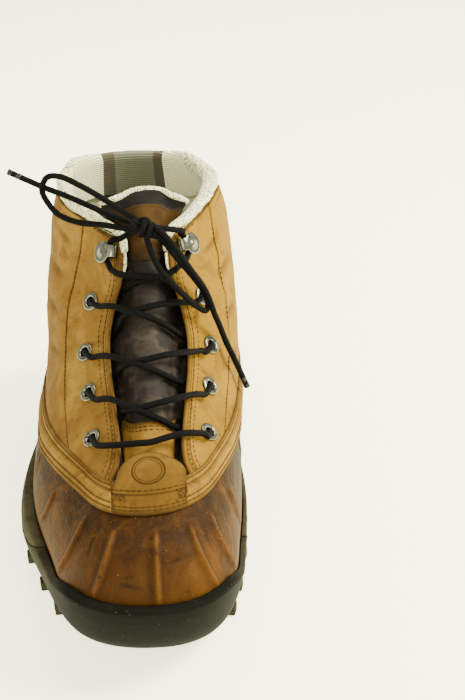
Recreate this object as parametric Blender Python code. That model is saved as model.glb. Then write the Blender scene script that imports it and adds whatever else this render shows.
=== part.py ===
"""A right-foot, ankle-high hiking boot with a ribbed leather vamp.

The frame is in metres with +Z up. The toe points to -Y and the heel to +Y. The outer (lateral)
side of the foot is at -X and the inner (medial) side at +X. The origin is on the floor, under
the middle of the sole. Sizes are written in millimetres, and MM turns them into metres.

The boot follows its last. A table of sections, a row for each, runs from the feather line,
where the upper meets the sole, up to the collar. A section is a closed ring round the foot, and
surface() reads any point of the leather from the table. Soles, band, tab, tongue and collar are
all made from that one function, so they fit each other.
"""

import math
from typing import NamedTuple

import bmesh
import bpy
from mathutils import Matrix, Vector

MM = 0.001

# Driving sizes
GAP = 0.3  # between pieces that touch
LEATHER = 2.4  # the wall of the upper, with its lining
OVERLAY = 1.7  # the band and the tab
OVERLAY_GAP = 0.4  # under them
LACE = 3.2  # diameter of the round lace
TREAD = 4.5  # depth of the lugs
INSOLE = 4.0
SHIFT_X = 11.8  # puts the middle of the sole over the origin
SHIFT_Y = 0.0


class Section(NamedTuple):
    """One ring of the last: heights along it, half widths on each side, and how its ends round.

    The places along a ring are its front, toe, ball, waist, heel and back.
    """

    front_y: float
    front_z: float
    toe_z: float
    side_z: float
    back_y: float
    back_z: float
    lat_toe: float
    lat_ball: float
    lat_waist: float
    lat_heel: float
    med_toe: float
    med_ball: float
    med_waist: float
    med_heel: float
    nose: float
    seat: float


LAST = (
    #        front       toe  side   back       lateral                 medial                 ends
    Section(-138, 28.0, 25.0, 24, 139, 29.0, 46, 62.0, 53.0, 36, 39, 46.0, 36.0, 33, 0.15, 0.16),  # feather
    Section(-143, 47.5, 40.0, 38, 142, 46.0, 46, 62.0, 56.0, 38, 40, 47.0, 42.0, 36, 0.16, 0.17),  # bulge
    Section(-131, 64.0, 56.0, 46, 142, 56.0, 42, 60.0, 57.0, 39, 38, 47.5, 46.0, 37, 0.20, 0.18),  # toe box
    Section(-111, 72.0, 66.5, 52, 141, 62.0, 38, 57.0, 57.0, 40, 37, 47.5, 50.0, 39, 0.24, 0.20),  # join
    Section(-97, 78.5, 72.0, 67, 139, 76.0, 36, 53.0, 56.0, 41, 35, 47.0, 52.0, 41, 0.27, 0.22),  # band top
    Section(-78, 86.0, 78.0, 80, 136, 90.0, 33, 50.0, 55.0, 42, 33, 46.0, 53.0, 43, 0.30, 0.24),  # throat
    Section(-46, 101.0, 92.0, 96, 131, 107.0, 33, 49.0, 55.5, 44, 33, 45.0, 53.0, 44, 0.34, 0.28),  # instep
    Section(-14, 122.0, 112.0, 116, 127, 124.0, 32, 47.5, 53.0, 44, 32, 44.0, 52.0, 45, 0.38, 0.32),  # ankle
    Section(10, 144.0, 136.0, 138, 125, 140.0, 30, 45.0, 50.0, 44, 30, 42.0, 50.0, 45, 0.42, 0.36),  # shaft
    Section(24, 158.0, 152.0, 152, 124, 150.0, 30, 42.0, 46.5, 43, 30, 39.0, 46.0, 42, 0.45, 0.40),  # collar
)
FEATHER, BULGE, TOE_BOX, JOIN, BAND_TOP, THROAT, INSTEP, ANKLE, SHAFT, COLLAR = range(10)
WIDTH_PLACES = (0.0, 0.12, 0.35, 0.60, 0.86, 1.0)
HEIGHT_PLACES = (0.0, 0.12, 0.5, 1.0)
AXIS_TOE = 1.5  # x of the last's middle line at its front and back
AXIS_HEEL = -6.0
ROUNDNESS = 2.2  # power of the curve that closes a ring's ends

# The sole, ring by ring from the tread up to the rim that laps the leather
SOLE = (
    #        front           back      lateral                 medial                  ends
    Section(-130, 0, 0, 0, 145, 0, 46, 66.0, 56.0, 38, 36.0, 45.0, 37.0, 36.0, 0.17, 0.15),  # bottom
    Section(-137, 0, 0, 0, 147, 0, 48, 69.0, 60.0, 41, 37.5, 47.0, 40.5, 39.0, 0.17, 0.15),  # edge
    Section(-143, 0, 0, 0, 148, 0, 49, 70.5, 61.5, 43, 39.5, 48.8, 43.5, 41.0, 0.17, 0.15),  # wall
    Section(-147, 0, 0, 0, 148, 0, 49, 70.0, 61.5, 43, 41.0, 49.5, 45.0, 41.5, 0.165, 0.15),  # shoulder
    Section(-148, 0, 0, 0, 147, 0, 49, 68.0, 60.0, 42, 42.2, 49.5, 45.0, 41.0, 0.155, 0.16),  # rim
)
SOLE_RISE = (0.0, 0.13, 0.36, 0.72, 1.0)  # how far each ring is up from the bottom to the rim
# Heights along the boot, as pairs of y and z
SEAT_HEIGHTS = ((-148, 28), (-110, 23), (-60, 22), (0, 25), (60, 28), (148, 30))
RIM_HEIGHTS = ((-148, 48), (-128, 44), (-105, 32), (-80, 28), (-48, 31), (0, 34), (60, 35), (148, 37))
TOE_SPRING = ((-148, 10), (-130, 4.2), (-112, 0.8), (-98, 0), (0, 0))
SPRING_HEIGHTS = (*TOE_SPRING, (30, 1.5), (52, 1.0), (70, 0), (148, 0))
PARTING = ((160, 13), (0, 13), (-38, 14.5), (-60, 19), (-74, 25), (-83, 34), (-87, 60))  # outsole top


class Throat(NamedTuple):
    """How far the facings stand apart at a level of the last, as half the gap."""

    level: float
    half_gap: float


THROAT_EDGE = (
    Throat(4.0, 19.0),
    Throat(4.5, 16.4),
    Throat(5.0, 15.6),
    Throat(5.6, 17.8),
    Throat(6.2, 20.5),
    Throat(6.7, 21.0),
    Throat(7.2, 18.0),
    Throat(7.6, 14.0),
    Throat(8.2, 13.0),
    Throat(8.6, 16.0),
    Throat(8.8, 24.0),
    Throat(9.0, 36.0),
)
THROAT_BOTTOM = 4.0


def blend(a, b, share):
    """The value share of the way from a to b."""
    return a + (b - a) * share


def curve(at, places, values):
    """A smooth curve through the values at rising places, straight on beyond the ends."""
    last = len(places) - 1
    i = min(max(sum(p <= at for p in places) - 1, 0), last - 1)

    def slope(k):
        lo, hi = max(k - 1, 0), min(k + 1, last)
        return (values[hi] - values[lo]) / (places[hi] - places[lo])

    span = places[i + 1] - places[i]
    t = (at - places[i]) / span
    if t < 0 or t > 1:
        end = i if t < 0 else i + 1
        return values[end] + slope(end) * (at - places[end])
    a, b = slope(i) * span, slope(i + 1) * span
    rise = values[i + 1] - values[i]
    return values[i] + t * (a + t * (3 * rise - 2 * a - b + t * (a + b - 2 * rise)))


def height(profile, y):
    """The height of a profile, given as pairs of y and z, at y."""
    return curve(y, [p[0] for p in profile], [p[1] for p in profile])


def section_at(level):
    """The section at a level of the last, where 1.5 is half way from row 1 to row 2."""
    places = range(len(LAST))
    return Section(*(curve(level, places, column) for column in zip(*LAST)))


def rounding(share, length):
    """How much of its full width a ring has at a share of the way from its end."""
    if share >= length:
        return 1.0
    return (1 - (1 - share / length) ** ROUNDNESS) ** (1 / ROUNDNESS)


def ring_point(section, turn):
    """The point of a ring at a turn: 0 is the front, 0.25 the lateral side, 0.5 the back."""
    t = 0.5 - 0.5 * math.cos(2 * math.pi * turn)
    lateral = turn % 1 < 0.5
    if lateral:
        widths = (section.lat_toe, section.lat_toe, section.lat_ball, section.lat_waist)
        widths += (section.lat_heel, section.lat_heel)
    else:
        widths = (section.med_toe, section.med_toe, section.med_ball, section.med_waist)
        widths += (section.med_heel, section.med_heel)
    width = curve(t, WIDTH_PLACES, widths) * rounding(t, section.nose) * rounding(1 - t, section.seat)
    heights = (section.front_z, section.toe_z, section.side_z, section.back_z)
    x = AXIS_TOE + (AXIS_HEEL - AXIS_TOE) * t + (-width if lateral else width)
    y = section.front_y + (section.back_y - section.front_y) * t
    return Vector((x, y, curve(t, HEIGHT_PLACES, heights)))


def skin(level, turn):
    """The leather's outer face. Its lowest row stands on the sole's seat."""
    point = ring_point(section_at(level), turn)
    if level < 1:
        foot = ring_point(LAST[FEATHER], turn)
        point.z += (height(SEAT_HEIGHTS, foot.y) + GAP - foot.z) * (1 - level)
    return point


def surface(level, turn, offset=0.0):
    """A point at an offset out from the leather's outer face."""
    step = 0.004
    point = skin(level, turn)
    if offset == 0:
        return point
    along = skin(level, turn + step) - skin(level, turn - step)
    up = skin(level + 0.1, turn) - skin(max(level - 0.1, 0), turn)
    return point + up.cross(along).normalized() * offset


def turn_at(level, half_gap, side):
    """The turn at which a ring is half_gap from the middle line: side is -1 lateral, 1 medial."""
    section = section_at(level)
    low, high = 0.0, 0.25
    for _ in range(30):
        middle = (low + high) / 2
        turn = middle if side < 0 else 1 - middle
        share = 0.5 - 0.5 * math.cos(2 * math.pi * turn)
        axis = AXIS_TOE + (AXIS_HEEL - AXIS_TOE) * share
        if abs(ring_point(section, turn).x - axis) < half_gap:
            low = middle
        else:
            high = middle
    return low if side < 0 else 1 - low


def half_gap(level):
    """Half the distance between the facings."""
    return curve(level, [row.level for row in THROAT_EDGE], [row.half_gap for row in THROAT_EDGE])


def new_object(name, mesh, look):
    """An object of a mesh, with one material."""
    mesh.materials.append(look)
    obj = bpy.data.objects.new(name, mesh)
    bpy.context.scene.collection.objects.link(obj)
    return obj


def material(name, colour, roughness, metallic=0.0):
    """A Principled material."""
    made = bpy.data.materials.new(name)
    made.use_nodes = True
    shader = made.node_tree.nodes["Principled BSDF"]
    shader.inputs["Base Color"].default_value = (*colour, 1)
    shader.inputs["Roughness"].default_value = roughness
    shader.inputs["Metallic"].default_value = metallic
    return made


def to_world(point):
    """A point of the last, in millimetres, as a place in metres over the origin."""
    return Vector((point[0] + SHIFT_X, point[1] + SHIFT_Y, point[2])) * MM


def mesh_of(name, points, faces):
    """A mesh of points in millimetres and faces, with its normals facing out."""
    mesh = bpy.data.meshes.new(name)
    mesh.from_pydata([to_world(p) for p in points], [], faces)
    work = bmesh.new()
    work.from_mesh(mesh)
    unused = [v for v in work.verts if not v.link_faces]
    bmesh.ops.delete(work, geom=unused, context="VERTS")
    bmesh.ops.recalc_face_normals(work, faces=work.faces)
    work.to_mesh(mesh)
    work.free()
    mesh.shade_smooth()
    return mesh


def grid_faces(rows, columns, closed):
    """Faces between rows of points, where a closed grid joins its last column to its first."""
    faces = []
    for r in range(rows - 1):
        low, high = r * columns, (r + 1) * columns
        for c in range(columns if closed else columns - 1):
            ahead = (c + 1) % columns
            faces.append((low + c, low + ahead, high + ahead, high + c))
    return faces


RING = 44  # points round a ring, an even number
FRONT = 3  # columns of a ring on each side of the front that lie in the throat


def column_turns(level):
    """The turns of a ring's columns. Column FRONT on each side follows the facing's edge."""
    reach = max(level, THROAT_BOTTOM)
    lateral = turn_at(level, half_gap(reach), -1)
    medial = 1 - turn_at(level, half_gap(reach), 1)
    half = RING // 2
    turns = []
    for edge, side in ((lateral, -1), (medial, 1)):
        line = [edge * k / FRONT for k in range(FRONT)]
        line += [blend(edge, 0.5, (k - FRONT) / (half - FRONT)) for k in range(FRONT, half + 1)]
        turns.append([t if side < 0 else 1 - t for t in line])
    return turns[0] + turns[1][-2:0:-1]


def sheet(name, outer, inner, faces, look):
    """A solid between two sheets of points that share their faces, with a rim round each edge."""
    uses = {}
    for face in faces:
        for a, b in zip(face, face[1:] + face[:1]):
            uses[min(a, b), max(a, b)] = uses.get((min(a, b), max(a, b)), 0) + 1
    count = len(outer)
    rim = [(a, b, count + b, count + a) for (a, b), n in uses.items() if n == 1]
    back = [tuple(count + k for k in face) for face in faces]
    return new_object(name, mesh_of(name, outer + inner, faces + back + rim), look)


UPPER_LEVELS = (0, 0.5, 1, 1.5, 2, 2.5, 3, 3.5, 4, 4.5, 5, 5.5, 6, 6.5, 7, 7.5, 8.1, 8.6, 8.85, 9)


def upper(leather):
    """The hollow shell: one grid of the last, open at the throat, the collar and underneath."""
    faces = []
    for r, level in enumerate(UPPER_LEVELS[:-1]):
        for c in range(RING):
            in_throat = c < FRONT or c >= RING - FRONT
            if in_throat and level >= THROAT_BOTTOM:
                continue
            low, high, ahead = r * RING, (r + 1) * RING, (c + 1) % RING
            faces.append((low + c, low + ahead, high + ahead, high + c))
    outer, inner = [], []
    for level in UPPER_LEVELS:
        turns = column_turns(level)
        outer += [surface(level, turn) for turn in turns]
        inner += [surface(level, turn, -LEATHER) for turn in turns]
    return sheet("upper", outer, inner, faces, leather)


def ladder(columns):
    """Faces that close a ring of points like a ladder, rung by rung from front to back."""
    half = columns // 2
    faces = [(0, 1, columns - 1)]
    faces += [(k, k + 1, columns - k - 1, columns - k) for k in range(1, half - 1)]
    return faces + [(half - 1, half, half + 1)]


def loft(name, rings):
    """A closed solid of rings, each with the same number of points, capped at both ends."""
    columns = len(rings[0])
    points = [p for ring in rings for p in ring]
    faces = grid_faces(len(rings), columns, True)
    faces += ladder(columns)
    top = (len(rings) - 1) * columns
    faces += [tuple(top + k for k in face) for face in ladder(columns)]
    return mesh_of(name, points, faces)


def level_at_height(turn, z):
    """The level of the last at which the leather reaches a height at a turn."""
    low, high = 0.0, 2.0
    for _ in range(24):
        middle = (low + high) / 2
        if skin(middle, turn).z < z:
            low = middle
        else:
            high = middle
    return low


LAP_GAP = 0.5  # between the leather and the sole's rim
WALL_GAP = 0.8  # and half way down


def whole_sole():
    """The sole before it is parted: wall, rim and the seat that the upper stands on."""
    turns = column_turns(FEATHER)
    rings = []
    for section, rise in zip(SOLE, SOLE_RISE):
        ring = [ring_point(section, turn) for turn in turns]
        for p in ring:
            bottom = TREAD + height(SPRING_HEIGHTS, p.y)
            p.z = blend(bottom, height(RIM_HEIGHTS, p.y), rise)
        rings.append(ring)
    levels = [level_at_height(t, p.z) for t, p in zip(turns, rings[-1])]
    lap = [surface(level, turn, LAP_GAP) for level, turn in zip(levels, turns)]
    wall = [surface(level / 2, turn, WALL_GAP) for level, turn in zip(levels, turns)]
    seat = [surface(FEATHER, turn, GAP) for turn in turns]
    for p in seat:
        p.z = height(SEAT_HEIGHTS, p.y)
    return loft("sole", [*rings, lap, wall, seat])


def prism(name, outline, half_width):
    """A cutter: an outline in the y-z plane, carried across the boot."""
    points = [Vector((side * half_width, y, z)) for side in (-1, 1) for y, z in outline]
    count = len(outline)
    faces = [(k, (k + 1) % count, count + (k + 1) % count, count + k) for k in range(count)]
    faces += [tuple(range(count)), tuple(range(count, 2 * count))]
    mesh = mesh_of(name, points, faces)
    return helper(name, mesh)


def helper(name, mesh):
    """A cutter or a tool: an object that is no part of the boot."""
    obj = bpy.data.objects.new(name, mesh)
    bpy.context.scene.collection.objects.link(obj)
    obj.hide_render = True
    obj.display_type = "WIRE"
    return obj


def boolean(obj, operation, other):
    """Adds a Boolean to an object."""
    cut = obj.modifiers.new(operation.lower(), "BOOLEAN")
    cut.operation = operation
    cut.object = other
    return cut


CUTTER_TOP = 90.0  # of the cutters that part the sole, above its rim
CUTTER_HALF = 120.0  # half their width, beyond its sides


def parting_line(lift):
    """The line between outsole and midsole, moved up and back, with the space above it."""
    line = [(y + lift, z + lift) for y, z in PARTING]
    return [(line[0][0], CUTTER_TOP), *line, (line[-1][0], CUTTER_TOP)]


def lug(inner, tip, top):
    """The 8 points and 6 faces of a lug that stands on the floor, wide inside, narrow at its tip."""
    outward = (tip - inner).normalized()
    across = Vector((-outward.y, outward.x, 0))
    plan = []
    for end, width in ((inner, LUG_WIDTH), (tip, LUG_TIP_WIDTH)):
        plan += [end - across * (width / 2), end + across * (width / 2)]
    plan[2:] = plan[:1:-1]
    points = [Vector((p.x, p.y, z)) for z in (0, top) for p in plan]
    faces = [(0, 3, 2, 1), (4, 5, 6, 7), (0, 1, 5, 4), (1, 2, 6, 5), (2, 3, 7, 6), (3, 0, 4, 7)]
    return points, faces


LATERAL_LUGS = (-95, -77, -56, -30, -3, 62, 84, 106, 127)  # y of each lug's tip
MEDIAL_LUGS = (-102, -85, -62, -36, -10, 62, 84, 106, 127)
LUG_WIDTH = 12.0
LUG_TIP_WIDTH = 5.6
LUG_STAND = 3.3  # how far a lug's tip stands out of the wall
FIRST_LUG_STAND = 2.0  # the same for the lugs at the toe
LUG_TOP = 6.0
LUG_INNER = 6.0  # half the channel down the middle of the tread
LUG_SWEEP = 9.0  # a lug's inner end lies this far behind its tip


def outline_at(y, side):
    """The point of the sole's wall at y: side is -1 lateral, 1 medial."""
    section = SOLE[1]
    low, high = 0.0, 0.5
    for _ in range(30):
        middle = (low + high) / 2
        if ring_point(section, middle if side < 0 else 1 - middle).y < y:
            low = middle
        else:
            high = middle
    return ring_point(section, low if side < 0 else 1 - low)


def lugs():
    """The lugs of the tread, in pairs. All stand on the floor."""
    points, faces = [], []
    for side, places in ((-1, LATERAL_LUGS), (1, MEDIAL_LUGS)):
        for y in places:
            tip = outline_at(y, side)
            tip.z = 0
            inner = Vector((side * LUG_INNER - 3, y + LUG_SWEEP, 0))
            stand = FIRST_LUG_STAND if y == places[0] else LUG_STAND
            corners, walls = lug(inner, tip + (tip - inner).normalized() * stand, LUG_TOP)
            faces += [tuple(len(points) + k for k in wall) for wall in walls]
            points += corners
    return mesh_of("lugs", points, faces)


def soles(outsole_rubber, midsole_rubber):
    """Outsole and midsole: one form, parted along a line that rises at the ball."""
    form = whole_sole()
    outsole = new_object("outsole", form, outsole_rubber)
    midsole = new_object("midsole", form.copy(), midsole_rubber)
    midsole.data.materials.clear()
    midsole.data.materials.append(midsole_rubber)
    tread = helper("tread_tool", lugs())
    boolean(outsole, "UNION", tread)
    boolean(outsole, "DIFFERENCE", prism("parting_tool", parting_line(0), CUTTER_HALF))
    boolean(midsole, "INTERSECT", prism("parting_tool_raised", parting_line(GAP), CUTTER_HALF))


INSOLE_EDGE = (  # how far the footbed's edge is inside the leather, and its height
    (0.9, GAP),
    (0.7, GAP + 1),
    (0.7, INSOLE - 1),
    (1.5, INSOLE),
)


def insole(foam):
    """The footbed, inside the upper and on the seat."""
    turns = column_turns(FEATHER)
    rings = []
    for inset, rise in INSOLE_EDGE:
        ring = [surface(0, turn, -LEATHER - inset) for turn in turns]
        for p in ring:
            p.z = height(SEAT_HEIGHTS, p.y) + rise
        rings.append(ring)
    return new_object("insole", loft("insole", rings), foam)


BAND_DIP = 0.2  # in levels: the band lies lower on the lateral side
BAND_LEVEL = 2.9
BAND_WIDTH = 1.0  # in levels
TAB_ENDS = (-18.1, 15.5)  # x of the ends of the tab's foot


def band_level(turn):
    """The level of the band's lower edge."""
    angle = 2 * math.pi * turn
    return BAND_LEVEL + 0.1 * math.cos(angle) - BAND_DIP * math.sin(angle)


def overlay(name, rows, leather):
    """A thin solid on the leather, from rows of places on it, each a level and a turn."""
    faces = grid_faces(len(rows), len(rows[0]), False)
    places = [place for row in rows for place in row]
    outer = [surface(*place, OVERLAY_GAP + OVERLAY) for place in places]
    inner = [surface(*place, OVERLAY_GAP) for place in places]
    return sheet(name, outer, inner, faces, leather)


BAND_COLUMNS = 45


def band(leather):
    """The strip over the join of vamp and quarters, from one side of the tab round the heel."""
    rows = []
    for share in (0, 0.5, 1):
        row = []
        for k in range(BAND_COLUMNS):
            along = k / (BAND_COLUMNS - 1)
            level = JOIN + BAND_WIDTH * share
            for _ in range(2):
                start = turn_at(level, GAP - TAB_ENDS[0], -1)
                end = turn_at(level, GAP + TAB_ENDS[1], 1)
                level = band_level(blend(start, end, along)) + BAND_WIDTH * share
            row.append((level, blend(start, end, along)))
        rows.append(row)
    return overlay("band", rows, leather)


TAB_MOON = 15.7  # the half-moon's half width
TAB_RISE = 0.88  # levels that the half-moon rises over the band
TAB_LEAN = 2.2  # how far its top lies to the lateral side


def signed_turn(level, x):
    """The turn at a signed distance x from the middle line."""
    return turn_at(level, abs(x), -1 if x < 0 else 1)


def signed_surface(level, x, offset):
    """A point of the skin at a signed distance x from the middle line."""
    return surface(level, signed_turn(level, x), offset)


TAB_COLUMNS = (-16.8, -15.7, -14.9, -12.8, -9.4, -5.0, 0, 5.0, 9.4, 12.8, 14.9)  # x between its ends
TAB_ROWS = (0, 0.3, 0.6, 0.8, 1)  # as shares of its height


def tab(leather):
    """The half-moon at the foot of the throat, with its own piece of the band."""
    columns = (TAB_ENDS[0], *TAB_COLUMNS, TAB_ENDS[1])
    low = band_level(0)
    rows = []
    for share in TAB_ROWS:
        row = []
        for x in columns:
            leaning = x + TAB_LEAN * (1 - (x / TAB_MOON) ** 2)
            moon = max(0.0, 1 - (leaning / TAB_MOON) ** 2) ** 0.5
            level = low + (BAND_WIDTH + TAB_RISE * moon) * share
            row.append((level, signed_turn(level, x)))
        rows.append(row)
    return overlay("tab", rows, leather)


class TongueRow(NamedTuple):
    """One row of the tongue: its level, half width, and how deep it lies at middle and edge."""

    level: float
    half_width: float
    crown: float
    edge: float


TONGUE = (
    TongueRow(3.9, 15, -3.6, -6.8),
    TongueRow(4.4, 18, -2.8, -7.1),
    TongueRow(5.0, 22, -2.4, -7.4),
    TongueRow(5.6, 26, -2.2, -7.6),
    TongueRow(6.2, 29, -2.0, -7.6),
    TongueRow(6.8, 29, -2.0, -7.6),
    TongueRow(7.4, 26, -2.0, -7.6),
    TongueRow(8.0, 24, -2.2, -7.8),
    TongueRow(8.6, 25, -2.8, -8.2),
)
TONGUE_FALL = 0.75  # the share of its half width over which it falls to its edge's depth
TONGUE_THICK = 5.0
TONGUE_EDGE = 3.0  # its thickness at the edges
TONGUE_COLUMNS = 13
TONGUE_TOP = 27.0  # length of the part above the throat
TONGUE_DIP = 0.15  # how much lower its top is at the corners
TONGUE_LEAN = Vector((0.06, 0.74, 0.67))  # its direction
TONGUE_FAN = 5.5  # how far its top corners stand out beyond its sides
TONGUE_FLATTEN = 0.85  # how far the top edge is straightened across
TONGUE_TOP_ROWS = (0.35, 0.7, 1.0)  # as shares of the top's length


def tongue_offset(level, x):
    """How far the tongue's face lies from the leather's, at a distance from the middle line."""
    places = [row.level for row in TONGUE]
    wide = curve(level, places, [row.half_width for row in TONGUE])
    crown = curve(level, places, [row.crown for row in TONGUE])
    edge = curve(level, places, [row.edge for row in TONGUE])
    reach = min(1.0, abs(x) / (TONGUE_FALL * wide))
    return edge + (crown - edge) * (0.5 + 0.5 * math.cos(math.pi * reach))


def tongue(face):
    """The padded tongue, behind the laces."""
    half = TONGUE_COLUMNS // 2
    columns = [k / half - 1 for k in range(TONGUE_COLUMNS)]
    outer, inner = [], []
    for row in TONGUE:
        for a in columns:
            x = a * row.half_width
            offset = tongue_offset(row.level, x)
            outer.append(signed_surface(row.level, x, offset))
            inner.append(signed_surface(row.level, x, offset - blend(TONGUE_THICK, TONGUE_EDGE, a * a)))
    lean = TONGUE_LEAN.normalized()
    for side in (outer, inner):
        root = side[-TONGUE_COLUMNS:]
        for share in TONGUE_TOP_ROWS:
            for a, p in zip(columns, root):
                flat = Vector((p.x + TONGUE_FAN * a * share, root[half].y, root[half].z))
                up = lean * (TONGUE_TOP * share * (1 - TONGUE_DIP * a * a * share))
                side.append(p.lerp(flat, TONGUE_FLATTEN * share) + up)
    faces = grid_faces(len(outer) // TONGUE_COLUMNS, TONGUE_COLUMNS, False)
    return sheet("tongue", outer, inner, faces, face)


CUFF_GAP = 0.6
CUFF_WIDE = 8.0  # at the back
CUFF_HIGH = 10.0
CUFF_END_WIDE = 3.5  # at the hooks
CUFF_END_HIGH = 3.0
CUFF_SWELL = 0.7  # under 1, the roll thickens soon after its ends
CUFF_OUT = 1.0  # how far its outer side stands out of the leather
CUFF_SIDES = 8
CUFF_STEPS = 26
CUFF_END_LEVELS = (8.1, 8.6, 8.85)  # of the facings' edges that it runs down


def collar_path():
    """Points of the collar's edge, from the lateral hook round the back to the medial hook.

    Each comes with its way out of the leather, and its share of the way round.
    """
    ends = []
    for side in (-1, 1):
        ends.append([(level, turn_at(level, half_gap(level), side)) for level in CUFF_END_LEVELS])
    start, end = (turn_at(COLLAR, half_gap(COLLAR), side) for side in (-1, 1))
    around = [(COLLAR, blend(start, end, k / CUFF_STEPS)) for k in range(CUFF_STEPS + 1)]
    route = ends[0] + around + ends[1][::-1]
    points = [surface(level, turn) for level, turn in route]
    outs = [(surface(level, turn, 1) - surface(level, turn)).normalized() for level, turn in route]
    return points, outs


def cuff(knit):
    """The padded roll on the collar's edge. It is thickest at the back and thin at the hooks."""
    points, outs = collar_path()
    count = len(points)
    rows = []
    for k, (p, out) in enumerate(zip(points, outs)):
        ahead = points[min(k + 1, count - 1)] - points[max(k - 1, 0)]
        edge = ahead.normalized().cross(out)
        if edge.z < 0:
            edge = -edge
        share = math.sin(math.pi * k / (count - 1)) ** CUFF_SWELL
        high = blend(CUFF_END_HIGH, CUFF_HIGH, share)
        wide = blend(CUFF_END_WIDE, CUFF_WIDE, share)
        centre = p + edge * (CUFF_GAP + high / 2) + out * (CUFF_OUT - wide / 2)
        ring = []
        for j in range(CUFF_SIDES):
            angle = 2 * math.pi * j / CUFF_SIDES
            ring.append(centre + edge * (high / 2 * math.cos(angle)) + out * (wide / 2 * math.sin(angle)))
        rows.append(ring)
    faces = grid_faces(count, CUFF_SIDES, True)
    faces += [tuple(range(CUFF_SIDES)), tuple((count - 1) * CUFF_SIDES + j for j in range(CUFF_SIDES))]
    mesh = mesh_of("collar_cuff", [p for row in rows for p in row], faces)
    return new_object("collar_cuff", mesh, knit)


class Eyelet(NamedTuple):
    """A place on the facings, as a level and a distance from the middle line."""

    level: float
    x: float


EYELETS = (Eyelet(4.8, 29.0), Eyelet(5.65, 31.0), Eyelet(6.3, 33.0), Eyelet(7.2, 29.5))
HOOKS = {-1: Eyelet(8.15, 16.8), 1: Eyelet(8.28, 19.2)}  # by side
EYELET_PROFILE = ((2.5, -2.9), (2.9, -2.9), (2.9, 0.6), (5.1, 0.6), (4.6, 1.4), (2.5, 1.4))
EYELET_SIDES = 12
EYELET_HOLE = 3.3
DRILL_SIDES = 8
DRILL_DEPTH = 12.0
LEVEL_SPAN = 15.0  # millimetres from one level to the next, near the facings
SHARP_EDGE = 40  # degrees from which an edge of metal stays sharp
EYELET_REACH = 4.0  # the leather within this distance sets how an eyelet lies
SIDES = (("lateral", -1), ("medial", 1))


def frame_on_skin(spot, side, reach):
    """The leather round an eyelet as a matrix in metres: +Z out, +X away from the throat."""
    at = signed_surface(spot.level, side * spot.x, 0)
    away = signed_surface(spot.level, side * (spot.x + reach), 0)
    away -= signed_surface(spot.level, side * (spot.x - reach), 0)
    up = signed_surface(spot.level + reach / LEVEL_SPAN, side * spot.x, 0)
    up -= signed_surface(spot.level - reach / LEVEL_SPAN, side * spot.x, 0)
    out = away.cross(up).normalized() * side
    away = (away - out * away.dot(out)).normalized()
    matrix = Matrix((away, out.cross(away), out)).transposed().to_4x4()
    matrix.translation = to_world(at)
    return matrix


def turned(name, profile, sides):
    """A ring turned about Z from a closed profile of radius and height, in metres."""
    points = []
    for j in range(sides):
        angle = 2 * math.pi * j / sides
        points += [Vector((r * math.cos(angle), r * math.sin(angle), z)) * MM for r, z in profile]
    count = len(profile)
    faces = []
    for j in range(sides):
        here, there = j * count, (j + 1) % sides * count
        for i in range(count):
            ahead = (i + 1) % count
            faces.append((here + i, here + ahead, there + ahead, there + i))
    mesh = bpy.data.meshes.new(name)
    mesh.from_pydata(points, [], faces)
    tidy_normals(mesh)
    return mesh


def tidy_normals(mesh):
    """Turns a mesh's faces to point out, and shades it smooth with sharp edges."""
    work = bmesh.new()
    work.from_mesh(mesh)
    bmesh.ops.recalc_face_normals(work, faces=work.faces)
    work.to_mesh(mesh)
    work.free()
    mesh.shade_smooth()
    mesh.set_sharp_from_angle(angle=math.radians(SHARP_EDGE))


def eyelets(shell, metal):
    """Four eyelets a side, and the holes in the leather that they line."""
    ring = turned("eyelet", EYELET_PROFILE, EYELET_SIDES)
    ring.materials.append(metal)
    drill = bmesh.new()
    for side_name, side in SIDES:
        for number, spot in enumerate(EYELETS, 1):
            place = frame_on_skin(spot, side, EYELET_REACH)
            obj = bpy.data.objects.new(f"eyelet_{side_name}_{number}", ring)
            bpy.context.scene.collection.objects.link(obj)
            obj.matrix_world = place
            bmesh.ops.create_cone(
                drill,
                cap_ends=True,
                segments=DRILL_SIDES,
                radius1=EYELET_HOLE * MM,
                radius2=EYELET_HOLE * MM,
                depth=DRILL_DEPTH * MM,
                matrix=place,
            )
    mesh = bpy.data.meshes.new("eyelet_drill")
    drill.to_mesh(mesh)
    drill.free()
    boolean(shell, "DIFFERENCE", helper("eyelet_drill", mesh))


HOOK_STRAP = (  # its outline, away from the throat and out of the leather
    (-3.4, 0.6),
    (-5.6, 2.5),
    (-4.6, 5.0),
    (-2.0, 6.2),
    (3.0, 6.2),
    (3.0, 5.0),
    (-1.6, 5.0),
    (-3.6, 4.0),
    (-4.2, 2.8),
    (-2.6, 1.7),
    (3.6, 1.7),
    (3.6, 0.6),
)
HOOK_WIDTH = 6.6
HOOK_HEAD = 6.0  # its radius
HOOK_HEAD_CHAMFER = 0.4
HOOK_HEAD_THICK = 1.4
HOOK_HEAD_SIDES = 20
HOOK_HEAD_AT = Vector((2.6, 0, 5.6))  # its middle, from the hook's foot


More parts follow.
